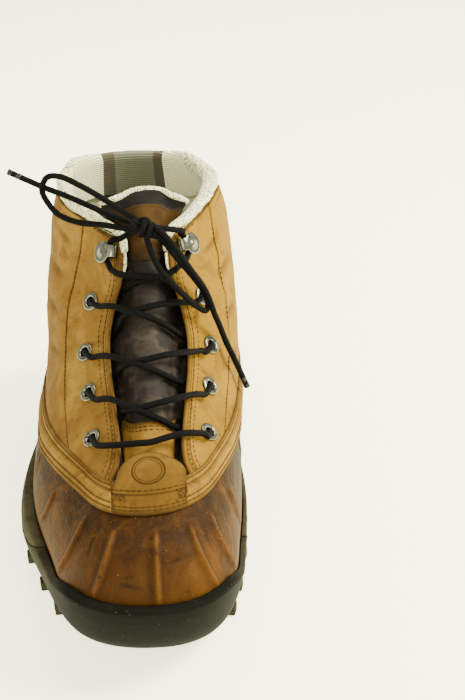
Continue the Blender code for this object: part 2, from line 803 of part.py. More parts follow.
def hooks(metal):
    """A lace hook a side: a strap folded back over its foot, and a round head."""
    points = []
    for y in (-HOOK_WIDTH / 2, HOOK_WIDTH / 2):
        points += [Vector((x, y, z)) * MM for x, z in HOOK_STRAP]
    count = len(HOOK_STRAP)
    faces = [(k, (k + 1) % count, count + (k + 1) % count, count + k) for k in range(count)]
    faces += [tuple(range(count)), tuple(range(count, 2 * count))]
    strap = bpy.data.meshes.new("lace_hook")
    strap.from_pydata(points, [], faces)
    tidy_normals(strap)
    for side_name, side in SIDES:
        place = frame_on_skin(HOOKS[side], side, EYELET_REACH)
        head = bmesh.new()
        bmesh.ops.create_cone(
            head,
            cap_ends=True,
            segments=HOOK_HEAD_SIDES,
            radius1=HOOK_HEAD * MM,
            radius2=(HOOK_HEAD - HOOK_HEAD_CHAMFER) * MM,
            depth=HOOK_HEAD_THICK * MM,
            matrix=place @ Matrix.Translation(HOOK_HEAD_AT * MM),
        )
        mesh = bpy.data.meshes.new("hook_head")
        head.to_mesh(mesh)
        head.free()
        obj = new_object(f"lace_hook_{side_name}", strap.copy(), metal)
        obj.matrix_world = place
        boolean(obj, "UNION", helper(f"hook_head_{side_name}", mesh))


def tube(name, route, radius, sides=8):
    """A closed tube along a route, in millimetres."""
    count = len(route)
    points = []
    side = Vector((0, 0, 1))
    for k, p in enumerate(route):
        ahead = (route[min(k + 1, count - 1)] - route[max(k - 1, 0)]).normalized()
        side = (side - ahead * side.dot(ahead)).normalized()
        other = ahead.cross(side)
        for j in range(sides):
            angle = 2 * math.pi * j / sides
            points.append(p + side * (radius * math.cos(angle)) + other * (radius * math.sin(angle)))
    faces = grid_faces(count, sides, True)
    faces += [tuple(range(sides)), tuple((count - 1) * sides + j for j in range(sides))]
    return mesh_of(name, points, faces)


LACE_CLEAR = 1.5


class Crossing(NamedTuple):
    """Where two laces leave the facings' undersides, cross, and reach the facings, as levels."""

    lateral: float
    medial: float
    middle: float
    over: float
    at: float  # how far from the middle line they cross


CROSSINGS = (
    Crossing(5.58, 5.33, 5.63, 5.74, -8.4),
    Crossing(6.21, 6.02, 6.32, 6.42, -8.8),
    Crossing(6.9, 6.75, 7.07, 7.2, -8.6),
    Crossing(7.5, 7.5, 7.59, 7.66, 5.0),
)
UNDER = -4.85  # offset of a lace that lies between facing and tongue
OVER = 2.9  # offset of a lace that lies on the facing
CROSSING_KEYS = (0, 0.26, 0.55, 0.8, 1)  # where a crossing's five keys lie along it
CROSSING_STEPS = 12
START_IN = 5.0  # a crossing starts this much nearer the middle than its eyelet
EYELET_SHORT = 5.4  # and ends this short of the next eyelet
HOOK_SHORT = 1.5  # or of the hook
HOOK_BELOW = 0.4  # and this far below it, in levels


def crossing(low, high, row, side, reach):
    """The route of a lace from under one facing to over the other.

    It starts on the side given, a little way under the facing, and ends short of the spot high.
    """
    under = row.lateral if side < 0 else row.medial
    gap_low = half_gap(under)
    gap_high = half_gap(row.over)
    end = (high.level, -(high.x - reach), OVER + 0.7)
    if reach == HOOK_SHORT:
        end = (high.level - HOOK_BELOW, -(high.x - reach), OVER + 0.2)
    keys = (
        (blend(low.level, under, 0.4), low.x - START_IN, UNDER),
        (under, gap_low - 0.5, UNDER + 0.2),
        (row.middle, side * row.at, 0.0),
        (row.over, -gap_high, OVER),
        end,
    )
    route = []
    for k in range(CROSSING_STEPS + 1):
        at = k / CROSSING_STEPS
        level, x, offset = (curve(at, CROSSING_KEYS, [key[i] for key in keys]) for i in range(3))
        if abs(x) < gap_low - 1.5:
            offset = max(offset, tongue_offset(level, x) + LACE / 2 + LACE_CLEAR)
        route.append(signed_surface(level, side * x, offset))
    return route


def joined(name, meshes, look):
    """One solid of several tubes that cross."""
    obj = new_object(name, meshes[0], look)
    for number, mesh in enumerate(meshes[1:], 1):
        boolean(obj, "UNION", helper(f"{name}_{number}", mesh))
    return obj


BAR = (  # x, level, offset
    (-23.2, 4.8, 3.6),
    (-15.0, 4.96, 2.7),
    (-6.0, 5.04, 2.1),
    (0.0, 5.06, 2.0),
    (6.0, 5.11, 2.1),
    (15.0, 5.13, 2.7),
    (23.2, 4.97, 3.6),
)
BAR_STEPS = 12


def bar_route():
    """The route of the lowest lace, from one eyelet straight over to the other."""
    route = []
    for k in range(BAR_STEPS + 1):
        at = k * (len(BAR) - 1) / BAR_STEPS
        x, level, offset = (curve(at, range(len(BAR)), column) for column in zip(*BAR))
        route.append(signed_surface(level, x, offset))
    return route


def laces(cord):
    """The bar at the foot of the throat, and the crossings above it."""
    new_object("lace_bar", tube("lace_bar", bar_route(), LACE / 2), cord)
    for number, row in enumerate(CROSSINGS, 1):
        reach = EYELET_SHORT if number < len(CROSSINGS) else HOOK_SHORT
        low = EYELETS[number - 1]
        made = []
        for side in (-1, 1):
            high = EYELETS[number] if number < len(EYELETS) else HOOKS[-side]
            made.append(tube("lace", crossing(low, high, row, side, reach), LACE / 2))
        joined(f"lace_crossing_{number}", made, cord)


class Cord(NamedTuple):
    """A free stretch of lace: its name and the points that it passes, before the shift."""

    name: str
    route: tuple


CORDS = (
    Cord(
        "lace_loop_lateral",
        (
            (-5.5, 17.5, 163.5),
            (-20.6, 25, 171.5),
            (-30.8, 30, 176.1),
            (-40.3, 34, 179.6),
            (-47.5, 36, 179.2),
            (-51.1, 36.5, 173.5),
            (-50.4, 35, 168.5),
            (-44, 30, 161),
            (-33.6, 25, 157.9),
            (-20, 20, 158),
            (-6.5, 14.5, 157.4),
        ),
    ),
    Cord(
        "lace_loop_medial",
        (
            (11, 8, 153),
            (16.9, 5.3, 145.3),
            (23.2, 5.4, 136.5),
            (28.9, 8.7, 125.9),
            (32.6, 6.5, 118.6),
            (31.5, 0.5, 115.5),
            (26.8, -4, 120.7),
            (20.4, -8, 129.6),
            (14.1, -8.3, 137.5),
            (8, -3, 143.9),
            (4.7, 4.5, 148.2),
        ),
    ),
    Cord(
        "lace_end_lateral",
        ((-7, 20.5, 158.9), (-21, 26, 163.2), (-37.2, 34, 168.2), (-51.5, 43.5, 170.6), (-67.5, 46, 178)),
    ),
    Cord(
        "lace_end_medial",
        (
            (11.5, 8.5, 156.4),
            (14.9, 5.0, 153.2),
            (18.8, 1.2, 149.0),
            (24.7, 0.9, 139.0),
            (30.4, 2.8, 128.6),
            (33.6, 1.2, 121.0),
            (35.8, -0.6, 114.0),
            (38.2, -0.2, 107.0),
            (41.4, -1.6, 97.3),
            (45.5, -5.2, 88.6),
            (51.5, -4.5, 72.0),
        ),
    ),
)
KNOT_AT = (3, 12, 158)
KNOT_SIZE = (7.0, 4.5, 4.5)  # half its width, depth and height
CORD_SPACING = 8.8  # between the points of a free lace


def smooth_route(route, spacing):
    """Points on a smooth curve through a route, about spacing apart."""
    length = sum((Vector(a) - Vector(b)).length for a, b in zip(route, route[1:]))
    count = max(2, round(length / spacing))
    places = range(len(route))
    return [
        Vector([curve(k * (len(route) - 1) / count, places, [p[i] for p in route]) for i in range(3)])
        for k in range(count + 1)
    ]


def free_laces(cord):
    """The knot, the two loops of the bow and the two ends."""
    for item in CORDS:
        data = bpy.data.curves.new(item.name, "CURVE")
        data.dimensions = "3D"
        data.bevel_depth = LACE / 2 * MM
        data.bevel_resolution = 2
        data.use_fill_caps = True
        route = smooth_route(item.route, CORD_SPACING)
        line = data.splines.new("POLY")
        line.points.add(len(route) - 1)
        for point, place in zip(line.points, route):
            point.co = (*to_world(place), 1)
        data.materials.append(cord)
        obj = bpy.data.objects.new(item.name, data)
        bpy.context.scene.collection.objects.link(obj)
    work = bmesh.new()
    bmesh.ops.create_uvsphere(work, u_segments=12, v_segments=8, radius=1.0)
    mesh = bpy.data.meshes.new("lace_knot")
    for vertex in work.verts:
        scaled = Vector(c * s for c, s in zip(vertex.co, KNOT_SIZE))
        vertex.co = to_world(scaled + Vector(KNOT_AT))
    bmesh.ops.recalc_face_normals(work, faces=work.faces)
    work.to_mesh(mesh)
    work.free()
    mesh.shade_smooth()
    new_object("lace_knot", mesh, cord)


def main():
    """Builds every piece."""
    for obj in list(bpy.data.objects):
        bpy.data.objects.remove(obj, do_unlink=True)
    nubuck = material("nubuck", (0.42, 0.22, 0.07), 0.85)
    smooth_leather = material("smooth_leather", (0.05, 0.03, 0.025), 0.5)
    outsole_rubber = material("outsole_rubber", (0.05, 0.05, 0.045), 0.7)
    midsole_rubber = material("midsole_rubber", (0.03, 0.035, 0.03), 0.75)
    foam = material("foam", (0.1, 0.1, 0.1), 0.9)
    knit = material("knit", (0.7, 0.66, 0.55), 0.95)
    nickel = material("nickel", (0.6, 0.58, 0.55), 0.3, 1.0)
    cord = material("lace", (0.01, 0.01, 0.01), 0.7)
    soles(outsole_rubber, midsole_rubber)
    insole(foam)
    shell = upper(nubuck)
    band(nubuck)
    tab(nubuck)
    tongue(smooth_leather)
    cuff(knit)
    eyelets(shell, nickel)
    hooks(nickel)
    laces(cord)
    free_laces(cord)


main()
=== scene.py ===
"""The finished look of an ankle-high hiking boot for the right foot.

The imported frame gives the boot's pieces at their real size, in metres, with the toe towards -Y,
the outer (lateral) side at -X and the inner (medial) side at +X. This script makes each piece
again with its finish: leather with ribs and creases, padded tongue and collar, stitching, lace,
metal and rubber. Sizes are in millimetres until a mesh is made.
"""

import functools
import logging
import math
from collections.abc import Callable, Iterable, Sequence
from dataclasses import dataclass, field
from enum import Enum
from typing import Any, NamedTuple

import bpy
import numpy as np
from bpy.types import Material, Mesh, NodeSocket, Object
from mathutils import Matrix, Vector, kdtree, noise


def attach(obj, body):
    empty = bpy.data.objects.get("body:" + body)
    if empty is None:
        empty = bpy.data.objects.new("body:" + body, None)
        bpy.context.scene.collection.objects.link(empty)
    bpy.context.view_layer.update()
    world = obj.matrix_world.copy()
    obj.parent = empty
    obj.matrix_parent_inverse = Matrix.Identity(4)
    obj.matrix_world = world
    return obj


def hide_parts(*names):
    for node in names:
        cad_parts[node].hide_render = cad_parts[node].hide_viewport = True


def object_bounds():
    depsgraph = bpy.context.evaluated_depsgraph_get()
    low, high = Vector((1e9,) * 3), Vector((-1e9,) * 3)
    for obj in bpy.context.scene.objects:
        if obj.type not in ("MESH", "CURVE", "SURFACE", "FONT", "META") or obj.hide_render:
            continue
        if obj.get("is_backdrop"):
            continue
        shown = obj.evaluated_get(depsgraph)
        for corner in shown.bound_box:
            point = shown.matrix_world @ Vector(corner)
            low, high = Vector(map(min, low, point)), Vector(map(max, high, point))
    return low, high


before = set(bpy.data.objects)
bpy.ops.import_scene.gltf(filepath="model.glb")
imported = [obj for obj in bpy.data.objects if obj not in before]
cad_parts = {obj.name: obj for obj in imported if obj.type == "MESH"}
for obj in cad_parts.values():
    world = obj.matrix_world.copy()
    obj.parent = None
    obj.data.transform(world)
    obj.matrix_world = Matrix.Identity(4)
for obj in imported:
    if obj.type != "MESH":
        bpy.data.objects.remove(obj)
cad_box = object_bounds()

log = logging.getLogger("boot")

Array = np.ndarray
Values = dict[str, Array]
Face = tuple[int, ...]
Pair = tuple[float, float]
Point = tuple[float, float, float]
Colour = tuple[float, float, float]

MM = 0.001
SHIFT = np.array([11.8, 0.0, 0.0])  # from the last's own frame to the boot's
BODY = "root"


# --- Curves and the last ---


def hermite(at: Any, places: Sequence[float], values: Any) -> Array:
    """A smooth curve through values at rising places, straight on beyond its ends.

    Args:
        at: where to read the curve.
        places: the places of the values.
        values: one value a place, or a row of them with one for each entry of at.

    Returns:
        The curve's values.
    """
    at = np.atleast_1d(np.asarray(at, float))
    places = np.asarray(places, float)
    values = np.asarray(values, float)
    last = len(places) - 1
    k = np.arange(last + 1)
    low, high = np.maximum(k - 1, 0), np.minimum(k + 1, last)
    reach = places[high] - places[low]
    slopes = (values[high] - values[low]) / (reach if values.ndim == 1 else reach[:, None])
    i = np.clip(np.searchsorted(places, at, side="right") - 1, 0, last - 1)
    here, there = (i, i + 1) if values.ndim == 1 else ((i, np.arange(at.size)), (i + 1, np.arange(at.size)))
    span = places[i + 1] - places[i]
    t = (at - places[i]) / span
    a, b = slopes[here] * span, slopes[there] * span
    rise = values[there] - values[here]
    inside = values[here] + t * (a + t * (3 * rise - 2 * a - b + t * (a + b - 2 * rise)))
    before = values[here] + slopes[here] * (at - places[i])
    after = values[there] + slopes[there] * (at - places[i + 1])
    return np.where(t < 0, before, np.where(t > 1, after, inside))


def smooth(at: Array, low: float, high: float) -> Array:
    """A soft step from 0 at low to 1 at high."""
    t = np.clip((np.asarray(at, float) - low) / (high - low), 0.0, 1.0)
    return t * t * (3 - 2 * t)


def bump_at(distance: Array, half_width: float) -> Array:
    """A rounded ridge: 1 at distance 0, falling to 0 at half_width."""
    t = np.clip(np.abs(distance) / half_width, 0.0, 1.0)
    return (0.5 + 0.5 * np.cos(np.pi * t)) ** 1.2


def unit(vectors: Array) -> Array:
    """Vectors of length 1."""
    return vectors / np.maximum(np.linalg.norm(vectors, axis=-1, keepdims=True), 1e-9)


def spline(points: Array, spacing: float) -> Array:
    """Points on a smooth curve through a route.

    Args:
        points: the route's points.
        spacing: about how far apart the new points are.

    Returns:
        Points at even distances along the curve.
    """
    points = np.asarray(points, float)
    steps = np.linalg.norm(np.diff(points, axis=0), axis=1) ** 0.5
    places = np.concatenate([[0], np.cumsum(steps)])
    fine = np.linspace(0, places[-1], 40 * len(points))
    dense = np.stack([hermite(fine, places, points[:, axis]) for axis in range(3)], -1)
    return respaced(dense, spacing)


def distances(points: Array) -> Array:
    """How far along each point lies, on polylines that run down a grid's first axis."""
    steps = np.linalg.norm(np.diff(points, axis=0), axis=-1)
    return np.concatenate([np.zeros((1, *steps.shape[1:])), np.cumsum(steps, axis=0)])


def respaced(points: Array, spacing: float) -> Array:
    """A polyline's points again, at even distances of about the spacing."""
    along = distances(points)
    count = max(3, round(along[-1] / spacing) + 1)
    even = np.linspace(0, along[-1], count)
    return np.stack([np.interp(even, along, points[:, axis]) for axis in range(points.shape[1])], -1)


def bisected(high: Array, rounds: int, beyond: Callable[[Array], Array]) -> Array:
    """The values from 0 to high up to which a test holds.

    Args:
        high: the highest values.
        rounds: how often the spans are halved.
        beyond: the test, which tells for each value whether the one sought lies above it.

    Returns:
        The values.
    """
    low = np.zeros_like(high)
    for _ in range(rounds):
        middle = (low + high) / 2
        above = beyond(middle)
        low, high = np.where(above, middle, low), np.where(above, high, middle)
    return low


def circle(sides: int) -> Array:
    """Even angles round a circle, in radians."""
    return 2 * np.pi * np.arange(sides) / sides


def mottling(points: Array, size: float, octaves: int = 3) -> Array:
    """Fractal noise of about -1 to 1 at points in millimetres, with features of a size."""
    flat = points.reshape(-1, 3) / size
    values = [noise.fractal(Vector(p), 0.9, 2.1, octaves) for p in flat]
    return np.array(values).reshape(points.shape[:-1])


class Side(Enum):
    """A side of the boot, as the sign of its x."""

    LATERAL = -1
    MEDIAL = 1


SIDES = (Side.LATERAL, Side.MEDIAL)


class Spot(NamedTuple):
    """A place on the facings, as a level and a distance from the middle line."""

    level: float
    x: float


class Section(NamedTuple):
    """One ring of the last: heights along it, half widths on each side, and how its ends round."""

    front_y: float
    front_z: float
    toe_z: float
    side_z: float
    back_y: float
    back_z: float
    lat_toe: float
    lat_ball: float
    lat_waist: float
    lat_heel: float
    med_toe: float
    med_ball: float
    med_waist: float
    med_heel: float
    nose: float
    seat: float


LAST_ROWS = (
    #        front       toe  side   back       lateral                 medial                 ends
    Section(-138, 28.0, 25.0, 24, 139, 29.0, 46, 62.0, 53.0, 36, 39, 46.0, 36.0, 33, 0.15, 0.16),  # feather
    Section(-143, 47.5, 40.0, 38, 142, 46.0, 46, 62.0, 56.0, 38, 40, 47.0, 42.0, 36, 0.16, 0.17),  # bulge
    Section(-131, 64.0, 56.0, 46, 142, 56.0, 42, 60.0, 57.0, 39, 38, 47.5, 46.0, 37, 0.20, 0.18),  # toe box
    Section(-111, 72.0, 66.5, 52, 141, 62.0, 38, 57.0, 57.0, 40, 37, 47.5, 50.0, 39, 0.24, 0.20),  # join
    Section(-97, 78.5, 72.0, 67, 139, 76.0, 36, 53.0, 56.0, 41, 35, 47.0, 52.0, 41, 0.27, 0.22),  # band top
    Section(-78, 86.0, 78.0, 80, 136, 90.0, 33, 50.0, 55.0, 42, 33, 46.0, 53.0, 43, 0.30, 0.24),  # throat
    Section(-46, 101.0, 92.0, 96, 131, 107.0, 33, 49.0, 55.5, 44, 33, 45.0, 53.0, 44, 0.34, 0.28),  # instep
    Section(-14, 122.0, 112.0, 116, 127, 124.0, 32, 47.5, 53.0, 44, 32, 44.0, 52.0, 45, 0.38, 0.32),  # ankle
    Section(10, 144.0, 136.0, 138, 125, 140.0, 30, 45.0, 50.0, 44, 30, 42.0, 50.0, 45, 0.42, 0.36),  # shaft
    Section(24, 158.0, 152.0, 152, 124, 150.0, 30, 42.0, 46.5, 43, 30, 39.0, 46.0, 42, 0.45, 0.40),  # collar
)
COLLAR = 9.0  # the top level
LOWEST = 0.04  # the lowest level that leather and lining reach
NEAR_BAND = 3.0  # about the level of the band's lower edge
BACK_TURN = 0.49  # the turn of the collar's back
LEVEL_SPAN = 15.0  # millimetres from one level to the next

SOLE_ROWS = (
    #        front           back      lateral                 medial                  ends
    Section(-130, 0, 0, 0, 145, 0, 46, 66.0, 56.0, 38, 36.0, 45.0, 37.0, 36.0, 0.17, 0.15),  # bottom
    Section(-137, 0, 0, 0, 147, 0, 48, 69.0, 60.0, 41, 37.5, 47.0, 40.5, 39.0, 0.17, 0.15),  # edge
    Section(-143, 0, 0, 0, 148, 0, 49, 70.5, 61.5, 43, 39.5, 48.8, 43.5, 41.0, 0.17, 0.15),  # wall
    Section(-147, 0, 0, 0, 148, 0, 49, 70.0, 61.5, 43, 41.0, 49.5, 45.0, 41.5, 0.165, 0.15),  # shoulder
    Section(-148, 0, 0, 0, 147, 0, 49, 68.0, 60.0, 42, 42.2, 49.5, 45.0, 41.0, 0.155, 0.16),  # rim
)
SOLE_RISE = (0.0, 0.13, 0.36, 0.72, 1.0)  # how high each of its rows lies, from bottom to rim


@dataclass(frozen=True)
class Last:
    """The form that every piece follows: a surface of level and turn, in millimetres.

    Level 0 is where the leather meets the sole and level 9 the collar. Turn 0 is the front, 0.25
    the lateral side, 0.5 the back and 0.75 the medial side.
    """

    rows: tuple[Section, ...] = LAST_ROWS
    width_places: tuple[float, ...] = (0.0, 0.12, 0.35, 0.60, 0.86, 1.0)
    height_places: tuple[float, ...] = (0.0, 0.12, 0.5, 1.0)
    axis_toe: float = 1.5
    axis_heel: float = -6.0
    roundness: float = 2.2
    gap: float = 0.3
    seat_heights: tuple[Pair, ...] = (
        (-148, 28), (-110, 23), (-60, 22), (0, 25), (60, 28), (148, 30)
    )  # along the boot, where the leather's foot stands
    throat_levels: tuple[float, ...] = (4.0, 4.5, 5.0, 5.6, 6.2, 6.7, 7.2, 7.6, 8.2, 8.6, 8.8, 9.0)
    throat_gaps: tuple[float, ...] = (19.0, 16.4, 15.6, 17.8, 20.5, 21.0, 18.0, 14.0, 13.0, 16.0, 24.0, 36.0)

    def columns(self, level: Array, rows: tuple[Section, ...] | None = None) -> Array:
        """The sections' numbers at levels, a row for each field."""
        table = np.array(rows or self.rows, float)
        return np.stack([hermite(level, range(len(table)), column) for column in table.T])

    def rounding(self, share: Array, length: Array) -> Array:
        """How much of its full width a ring has at a share of the way from its end."""
        left = np.clip(1 - share / length, 0.0, 1.0)
        return (1 - left**self.roundness) ** (1 / self.roundness)

    def axis(self, share: Array) -> Array:
        """The x of the middle line at a share of the way from toe to heel."""
        return self.axis_toe + (self.axis_heel - self.axis_toe) * share

    def ring(self, columns: Array, turn: Array) -> Array:
        """Points of rings given by their columns, one for each turn."""
        t = 0.5 - 0.5 * np.cos(2 * np.pi * turn)
        row = Section(*columns)
        lateral = np.mod(turn, 1.0) < 0.5
        lat = (row.lat_toe, row.lat_toe, row.lat_ball, row.lat_waist, row.lat_heel, row.lat_heel)
        med = (row.med_toe, row.med_toe, row.med_ball, row.med_waist, row.med_heel, row.med_heel)
        width = hermite(t, self.width_places, np.where(lateral, lat, med))
        width = width * self.rounding(t, row.nose) * self.rounding(1 - t, row.seat)
        x = self.axis(t) + np.where(lateral, -width, width)
        y = row.front_y + (row.back_y - row.front_y) * t
        heights = (row.front_z, row.toe_z, row.side_z, row.back_z)
        return np.stack([x, y, hermite(t, self.height_places, heights)], -1)

    def skin(self, level: Array, turn: Array) -> Array:
        """The leather's outer face. Its lowest row stands on the sole's seat."""
        points = self.ring(self.columns(level), turn)
        foot = self.ring(self.columns(np.zeros_like(level)), turn)
        seat = hermite(foot[:, 1], *zip(*self.seat_heights))
        points[:, 2] += np.where(level < 1, (seat + self.gap - foot[:, 2]) * (1 - level), 0.0)
        return points

    def normal(self, level: Array, turn: Array) -> Array:
        """The ways out of the leather."""
        along = self.skin(level, turn + 0.004) - self.skin(level, turn - 0.004)
        up = self.skin(level + 0.1, turn) - self.skin(np.maximum(level - 0.1, 0), turn)
        return unit(np.cross(up, along))

    def surface(self, level: Any, turn: Any, offset: Any = 0.0) -> Array:
        """Points at an offset out from the leather's outer face.

        Args:
            level: levels of the last.
            turn: turns round it.
            offset: how far out of the leather each point lies.

        Returns:
            Points, in the shape of the arguments with a last axis of 3.
        """
        level, turn, offset = np.broadcast_arrays(*(np.asarray(v, float) for v in (level, turn, offset)))
        shape = level.shape
        flat = [v.reshape(-1) for v in (level, turn, offset)]
        points = self.skin(flat[0], flat[1]) + self.normal(flat[0], flat[1]) * flat[2][:, None]
        return points.reshape(*shape, 3)

    def turn_at(self, level: Any, x: Any) -> Array:
        """The turns at which rings are a signed distance x from the middle line."""
        level, x = np.broadcast_arrays(np.asarray(level, float), np.asarray(x, float))
        flat_level, flat_x = level.reshape(-1), x.reshape(-1)
        columns = self.columns(flat_level)

        def nearer(quarter: Array) -> Array:
            """Whether rings are nearer the middle line than x, a part of a turn from the front."""
            turn = np.where(flat_x < 0, quarter, 1 - quarter)
            share = 0.5 - 0.5 * np.cos(2 * np.pi * turn)
            return np.abs(self.ring(columns, turn)[:, 0] - self.axis(share)) < np.abs(flat_x)

        found = bisected(np.full(flat_x.size, 0.25), 26, nearer)
        return np.where(flat_x < 0, found, 1 - found).reshape(level.shape)

    def at(self, level: Any, x: Any, offset: Any = 0.0) -> Array:
        """Points at a signed distance x from the middle line."""
        return self.surface(level, self.turn_at(level, x), offset)

    def half_gap(self, level: Any) -> Array:
        """Half the distance between the facings."""
        level = np.asarray(level, float)
        return hermite(level.reshape(-1), self.throat_levels, self.throat_gaps).reshape(level.shape)

    def facing_turns(self, level: Array) -> tuple[Array, Array]:
        """The turns of the lateral and of the medial facing's edge at levels."""
        gap = self.half_gap(np.maximum(level, self.throat_levels[0]))
        return self.turn_at(level, -gap), self.turn_at(level, gap)

    def frame_at(self, spot: Spot, side: Side, reach: float = 4.0) -> Matrix:
        """The leather round a place, as a matrix in metres: +Z out, +X away from the throat."""
        level, x, sign, rise = spot.level, side.value * spot.x, side.value, reach / LEVEL_SPAN
        away = self.at(level, x + sign * reach) - self.at(level, x - sign * reach)
        up = self.at(level + rise, x) - self.at(level - rise, x)
        away, up = Vector(away.reshape(3)), Vector(up.reshape(3))
        out = away.cross(up).normalized() * sign
        away = (away - out * away.dot(out)).normalized()
        matrix = Matrix((away, out.cross(away), out)).transposed().to_4x4()
        matrix.translation = Vector((self.at(level, x).reshape(3) + SHIFT) * MM)
        return matrix


# --- Meshes ---


@dataclass
class Shape:
    """Points in millimetres and faces that close a solid, with numbers carried by each point."""

    points: Array
    faces: list[Face]
    values: Values = field(default_factory=dict)
    corners: Array | None = None  # UV of each face corner, in the order of the faces

    def turned_out(self) -> "Shape":
        """The same solid with its faces towards the outside."""
        volume = 0.0
        for face in self.faces:
            a = self.points[face[0]]
            for k in range(1, len(face) - 1):
                volume += float(np.dot(a, np.cross(self.points[face[k]], self.points[face[k + 1]])))
        if volume >= 0:
            return self
        corners = None
        if self.corners is not None:
            parts, start = [], 0
            for face in self.faces:
                parts.append(self.corners[start : start + len(face)][::-1])
                start += len(face)
            corners = np.concatenate(parts)
        return Shape(self.points, [face[::-1] for face in self.faces], self.values, corners)

    def plus(self, other: "Shape") -> "Shape":
        """This solid and another in one mesh."""
        count = len(self.points)
        faces = self.faces + [tuple(count + k for k in face) for face in other.faces]
        values = {n: np.concatenate([v, other.values[n]]) for n, v in self.values.items()}
        corners = None
        if self.corners is not None and other.corners is not None:
            corners = np.concatenate([self.corners, other.corners])
        return Shape(np.concatenate([self.points, other.points]), faces, values, corners)

    def mesh(self, name: str) -> Mesh:
        """A Blender mesh of the solid, in metres, shaded smooth."""
        mesh = bpy.data.meshes.new(name)
        mesh.from_pydata(((self.points + SHIFT) * MM).tolist(), [], self.faces)
        for label, numbers in self.values.items():
            layer = mesh.attributes.new(label, "FLOAT", "POINT")
            layer.data.foreach_set("value", np.asarray(numbers, np.float32))
        if self.corners is not None:
            layer = mesh.uv_layers.new(name="along")
            layer.data.foreach_set("uv", self.corners.astype(np.float32).ravel())
        mesh.shade_smooth()
        return mesh

    def piece(self, name: str, finish: Material, slot: str, *nodes: str) -> Object:
        """A piece of the boot with this shape, in place of the frame's nodes."""
        return piece(name, self.mesh(name), finish, slot, *nodes)


def linked(name: str, data: Any) -> Object:
    """A new object of the scene."""
    obj = bpy.data.objects.new(name, data)
    bpy.context.scene.collection.objects.link(obj)
    return obj


def joined(shapes: Iterable[Shape]) -> Shape:
    """Several solids in one mesh."""
    return functools.reduce(Shape.plus, shapes)


def piece(name: str, mesh: Mesh, finish: Material, slot: str, *nodes: str) -> Object:
    """A piece of the boot.

    Args:
        name: its name.
        mesh: its mesh, in metres.
        finish: its material.
        slot: a material slot's name; not used.
        nodes: the frame's nodes that it takes the place of.

    Returns:
        The object, riding on the boot's body.
    """
    mesh.name = name
    mesh.materials.clear()
    mesh.materials.append(finish)
    obj = linked(name, mesh)
    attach(obj, BODY)
    if nodes:
        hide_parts(*nodes)
    log.info("%s: %d faces", name, len(mesh.polygons))
    return obj


def quads(rows: int, columns: int, closed: bool) -> list[Face]:
    """Faces between rows of points, where a closed grid joins its last column to its first."""
    faces = []
    for r in range(rows - 1):
        low, high = r * columns, (r + 1) * columns
        for c in range(columns if closed else columns - 1):
            ahead = (c + 1) % columns
            faces.append((low + c, low + ahead, high + ahead, high + c))
    return faces


def capped(rings: int, sides: int) -> list[Face]:
    """Faces of a solid of rings, one after the other, with a face over each end."""
    top = (rings - 1) * sides
    return [*quads(rings, sides, True), tuple(range(sides))[::-1], tuple(range(top, top + sides))]


RIM_SHARES = (0.1, 0.32, 0.68, 0.9)  # where the rim's rows lie between the two faces
RIM_BULGES = (0.55, 1.0, 1.0, 0.55)


def shell(
    outer: Array, inner: Array, closed: bool = False, bulge: float = 0.3, values: Values | None = None
) -> Shape:
    """A solid between two grids of points, with a rounded rim.

    Args:
        outer: the grid of the outer face, rows by columns by 3.
        inner: the grid of the inner face.
        closed: whether the last column joins the first.
        bulge: how far the rim stands out.
        values: numbers for each point of the outer grid. The inner face takes the same.

    Returns:
        The closed solid, with a value "inside" of 1 on its inner face.
    """
    rows, columns = outer.shape[:2]
    count = rows * columns
    index = np.arange(count).reshape(rows, columns)
    away = np.zeros_like(outer)
    away[0] += unit(outer[0] - outer[1])
    away[-1] += unit(outer[-1] - outer[-2])
    if closed:
        loops = [index[0], index[-1][::-1]]
    else:
        away[:, 0] += unit(outer[:, 0] - outer[:, 1])
        away[:, -1] += unit(outer[:, -1] - outer[:, -2])
        loops = [np.concatenate([index[0], index[1:-1, -1], index[-1][::-1], index[-2:0:-1, 0]])]
    faces = quads(rows, columns, closed)
    faces += [tuple(count + k for k in face[::-1]) for face in quads(rows, columns, closed)]
    flat_out, flat_in = outer.reshape(-1, 3), inner.reshape(-1, 3)
    away = unit(away).reshape(-1, 3)
    points, sources, insides = [flat_out, flat_in], [], []
    start = 2 * count
    for loop in loops:
        size = len(loop)
        previous = loop
        for share, swell in zip(RIM_SHARES, RIM_BULGES):
            points.append(flat_out[loop] * (1 - share) + flat_in[loop] * share + away[loop] * bulge * swell)
            sources.append(loop)
            insides.append(np.full(size, share))
            current = np.arange(start, start + size)
            faces += rim_faces(previous, current)
            previous, start = current, start + size
        faces += rim_faces(previous, loop + count)
    carried = {}
    for label, numbers in (values or {}).items():
        flat = np.broadcast_to(numbers, (rows, columns)).reshape(-1)
        carried[label] = np.concatenate([flat, flat, *[flat[s] for s in sources]])
    carried["inside"] = np.concatenate([np.zeros(count), np.ones(count), *insides])
    return Shape(np.concatenate(points), faces, carried).turned_out()


def sheet_on(
    last: Last,
    level: Array,
    turn: Array,
    offsets: tuple[Any, Any],
    closed: bool,
    bulge: float,
    values: Values,
) -> Shape:
    """A closed sheet that follows the leather.

    Args:
        last: the last.
        level: levels of a grid's points.
        turn: their turns.
        offsets: how far the outer and the inner face lie out of the leather.
        closed: whether the last column joins the first.
        bulge: how far the rim stands out.
        values: numbers for each point of the grid.

    Returns:
        The sheet.
    """
    outer, inner = (last.surface(level, turn, offset) for offset in offsets)
    return shell(outer, inner, closed, bulge, values)


def rim_faces(near: Array, far: Array) -> list[Face]:
    """Faces between two closed loops of points."""
    ahead = np.roll(np.arange(len(near)), -1)
    return [
        (int(near[b]), int(near[a]), int(far[a]), int(far[b])) for a, b in zip(range(len(near)), ahead)
    ]


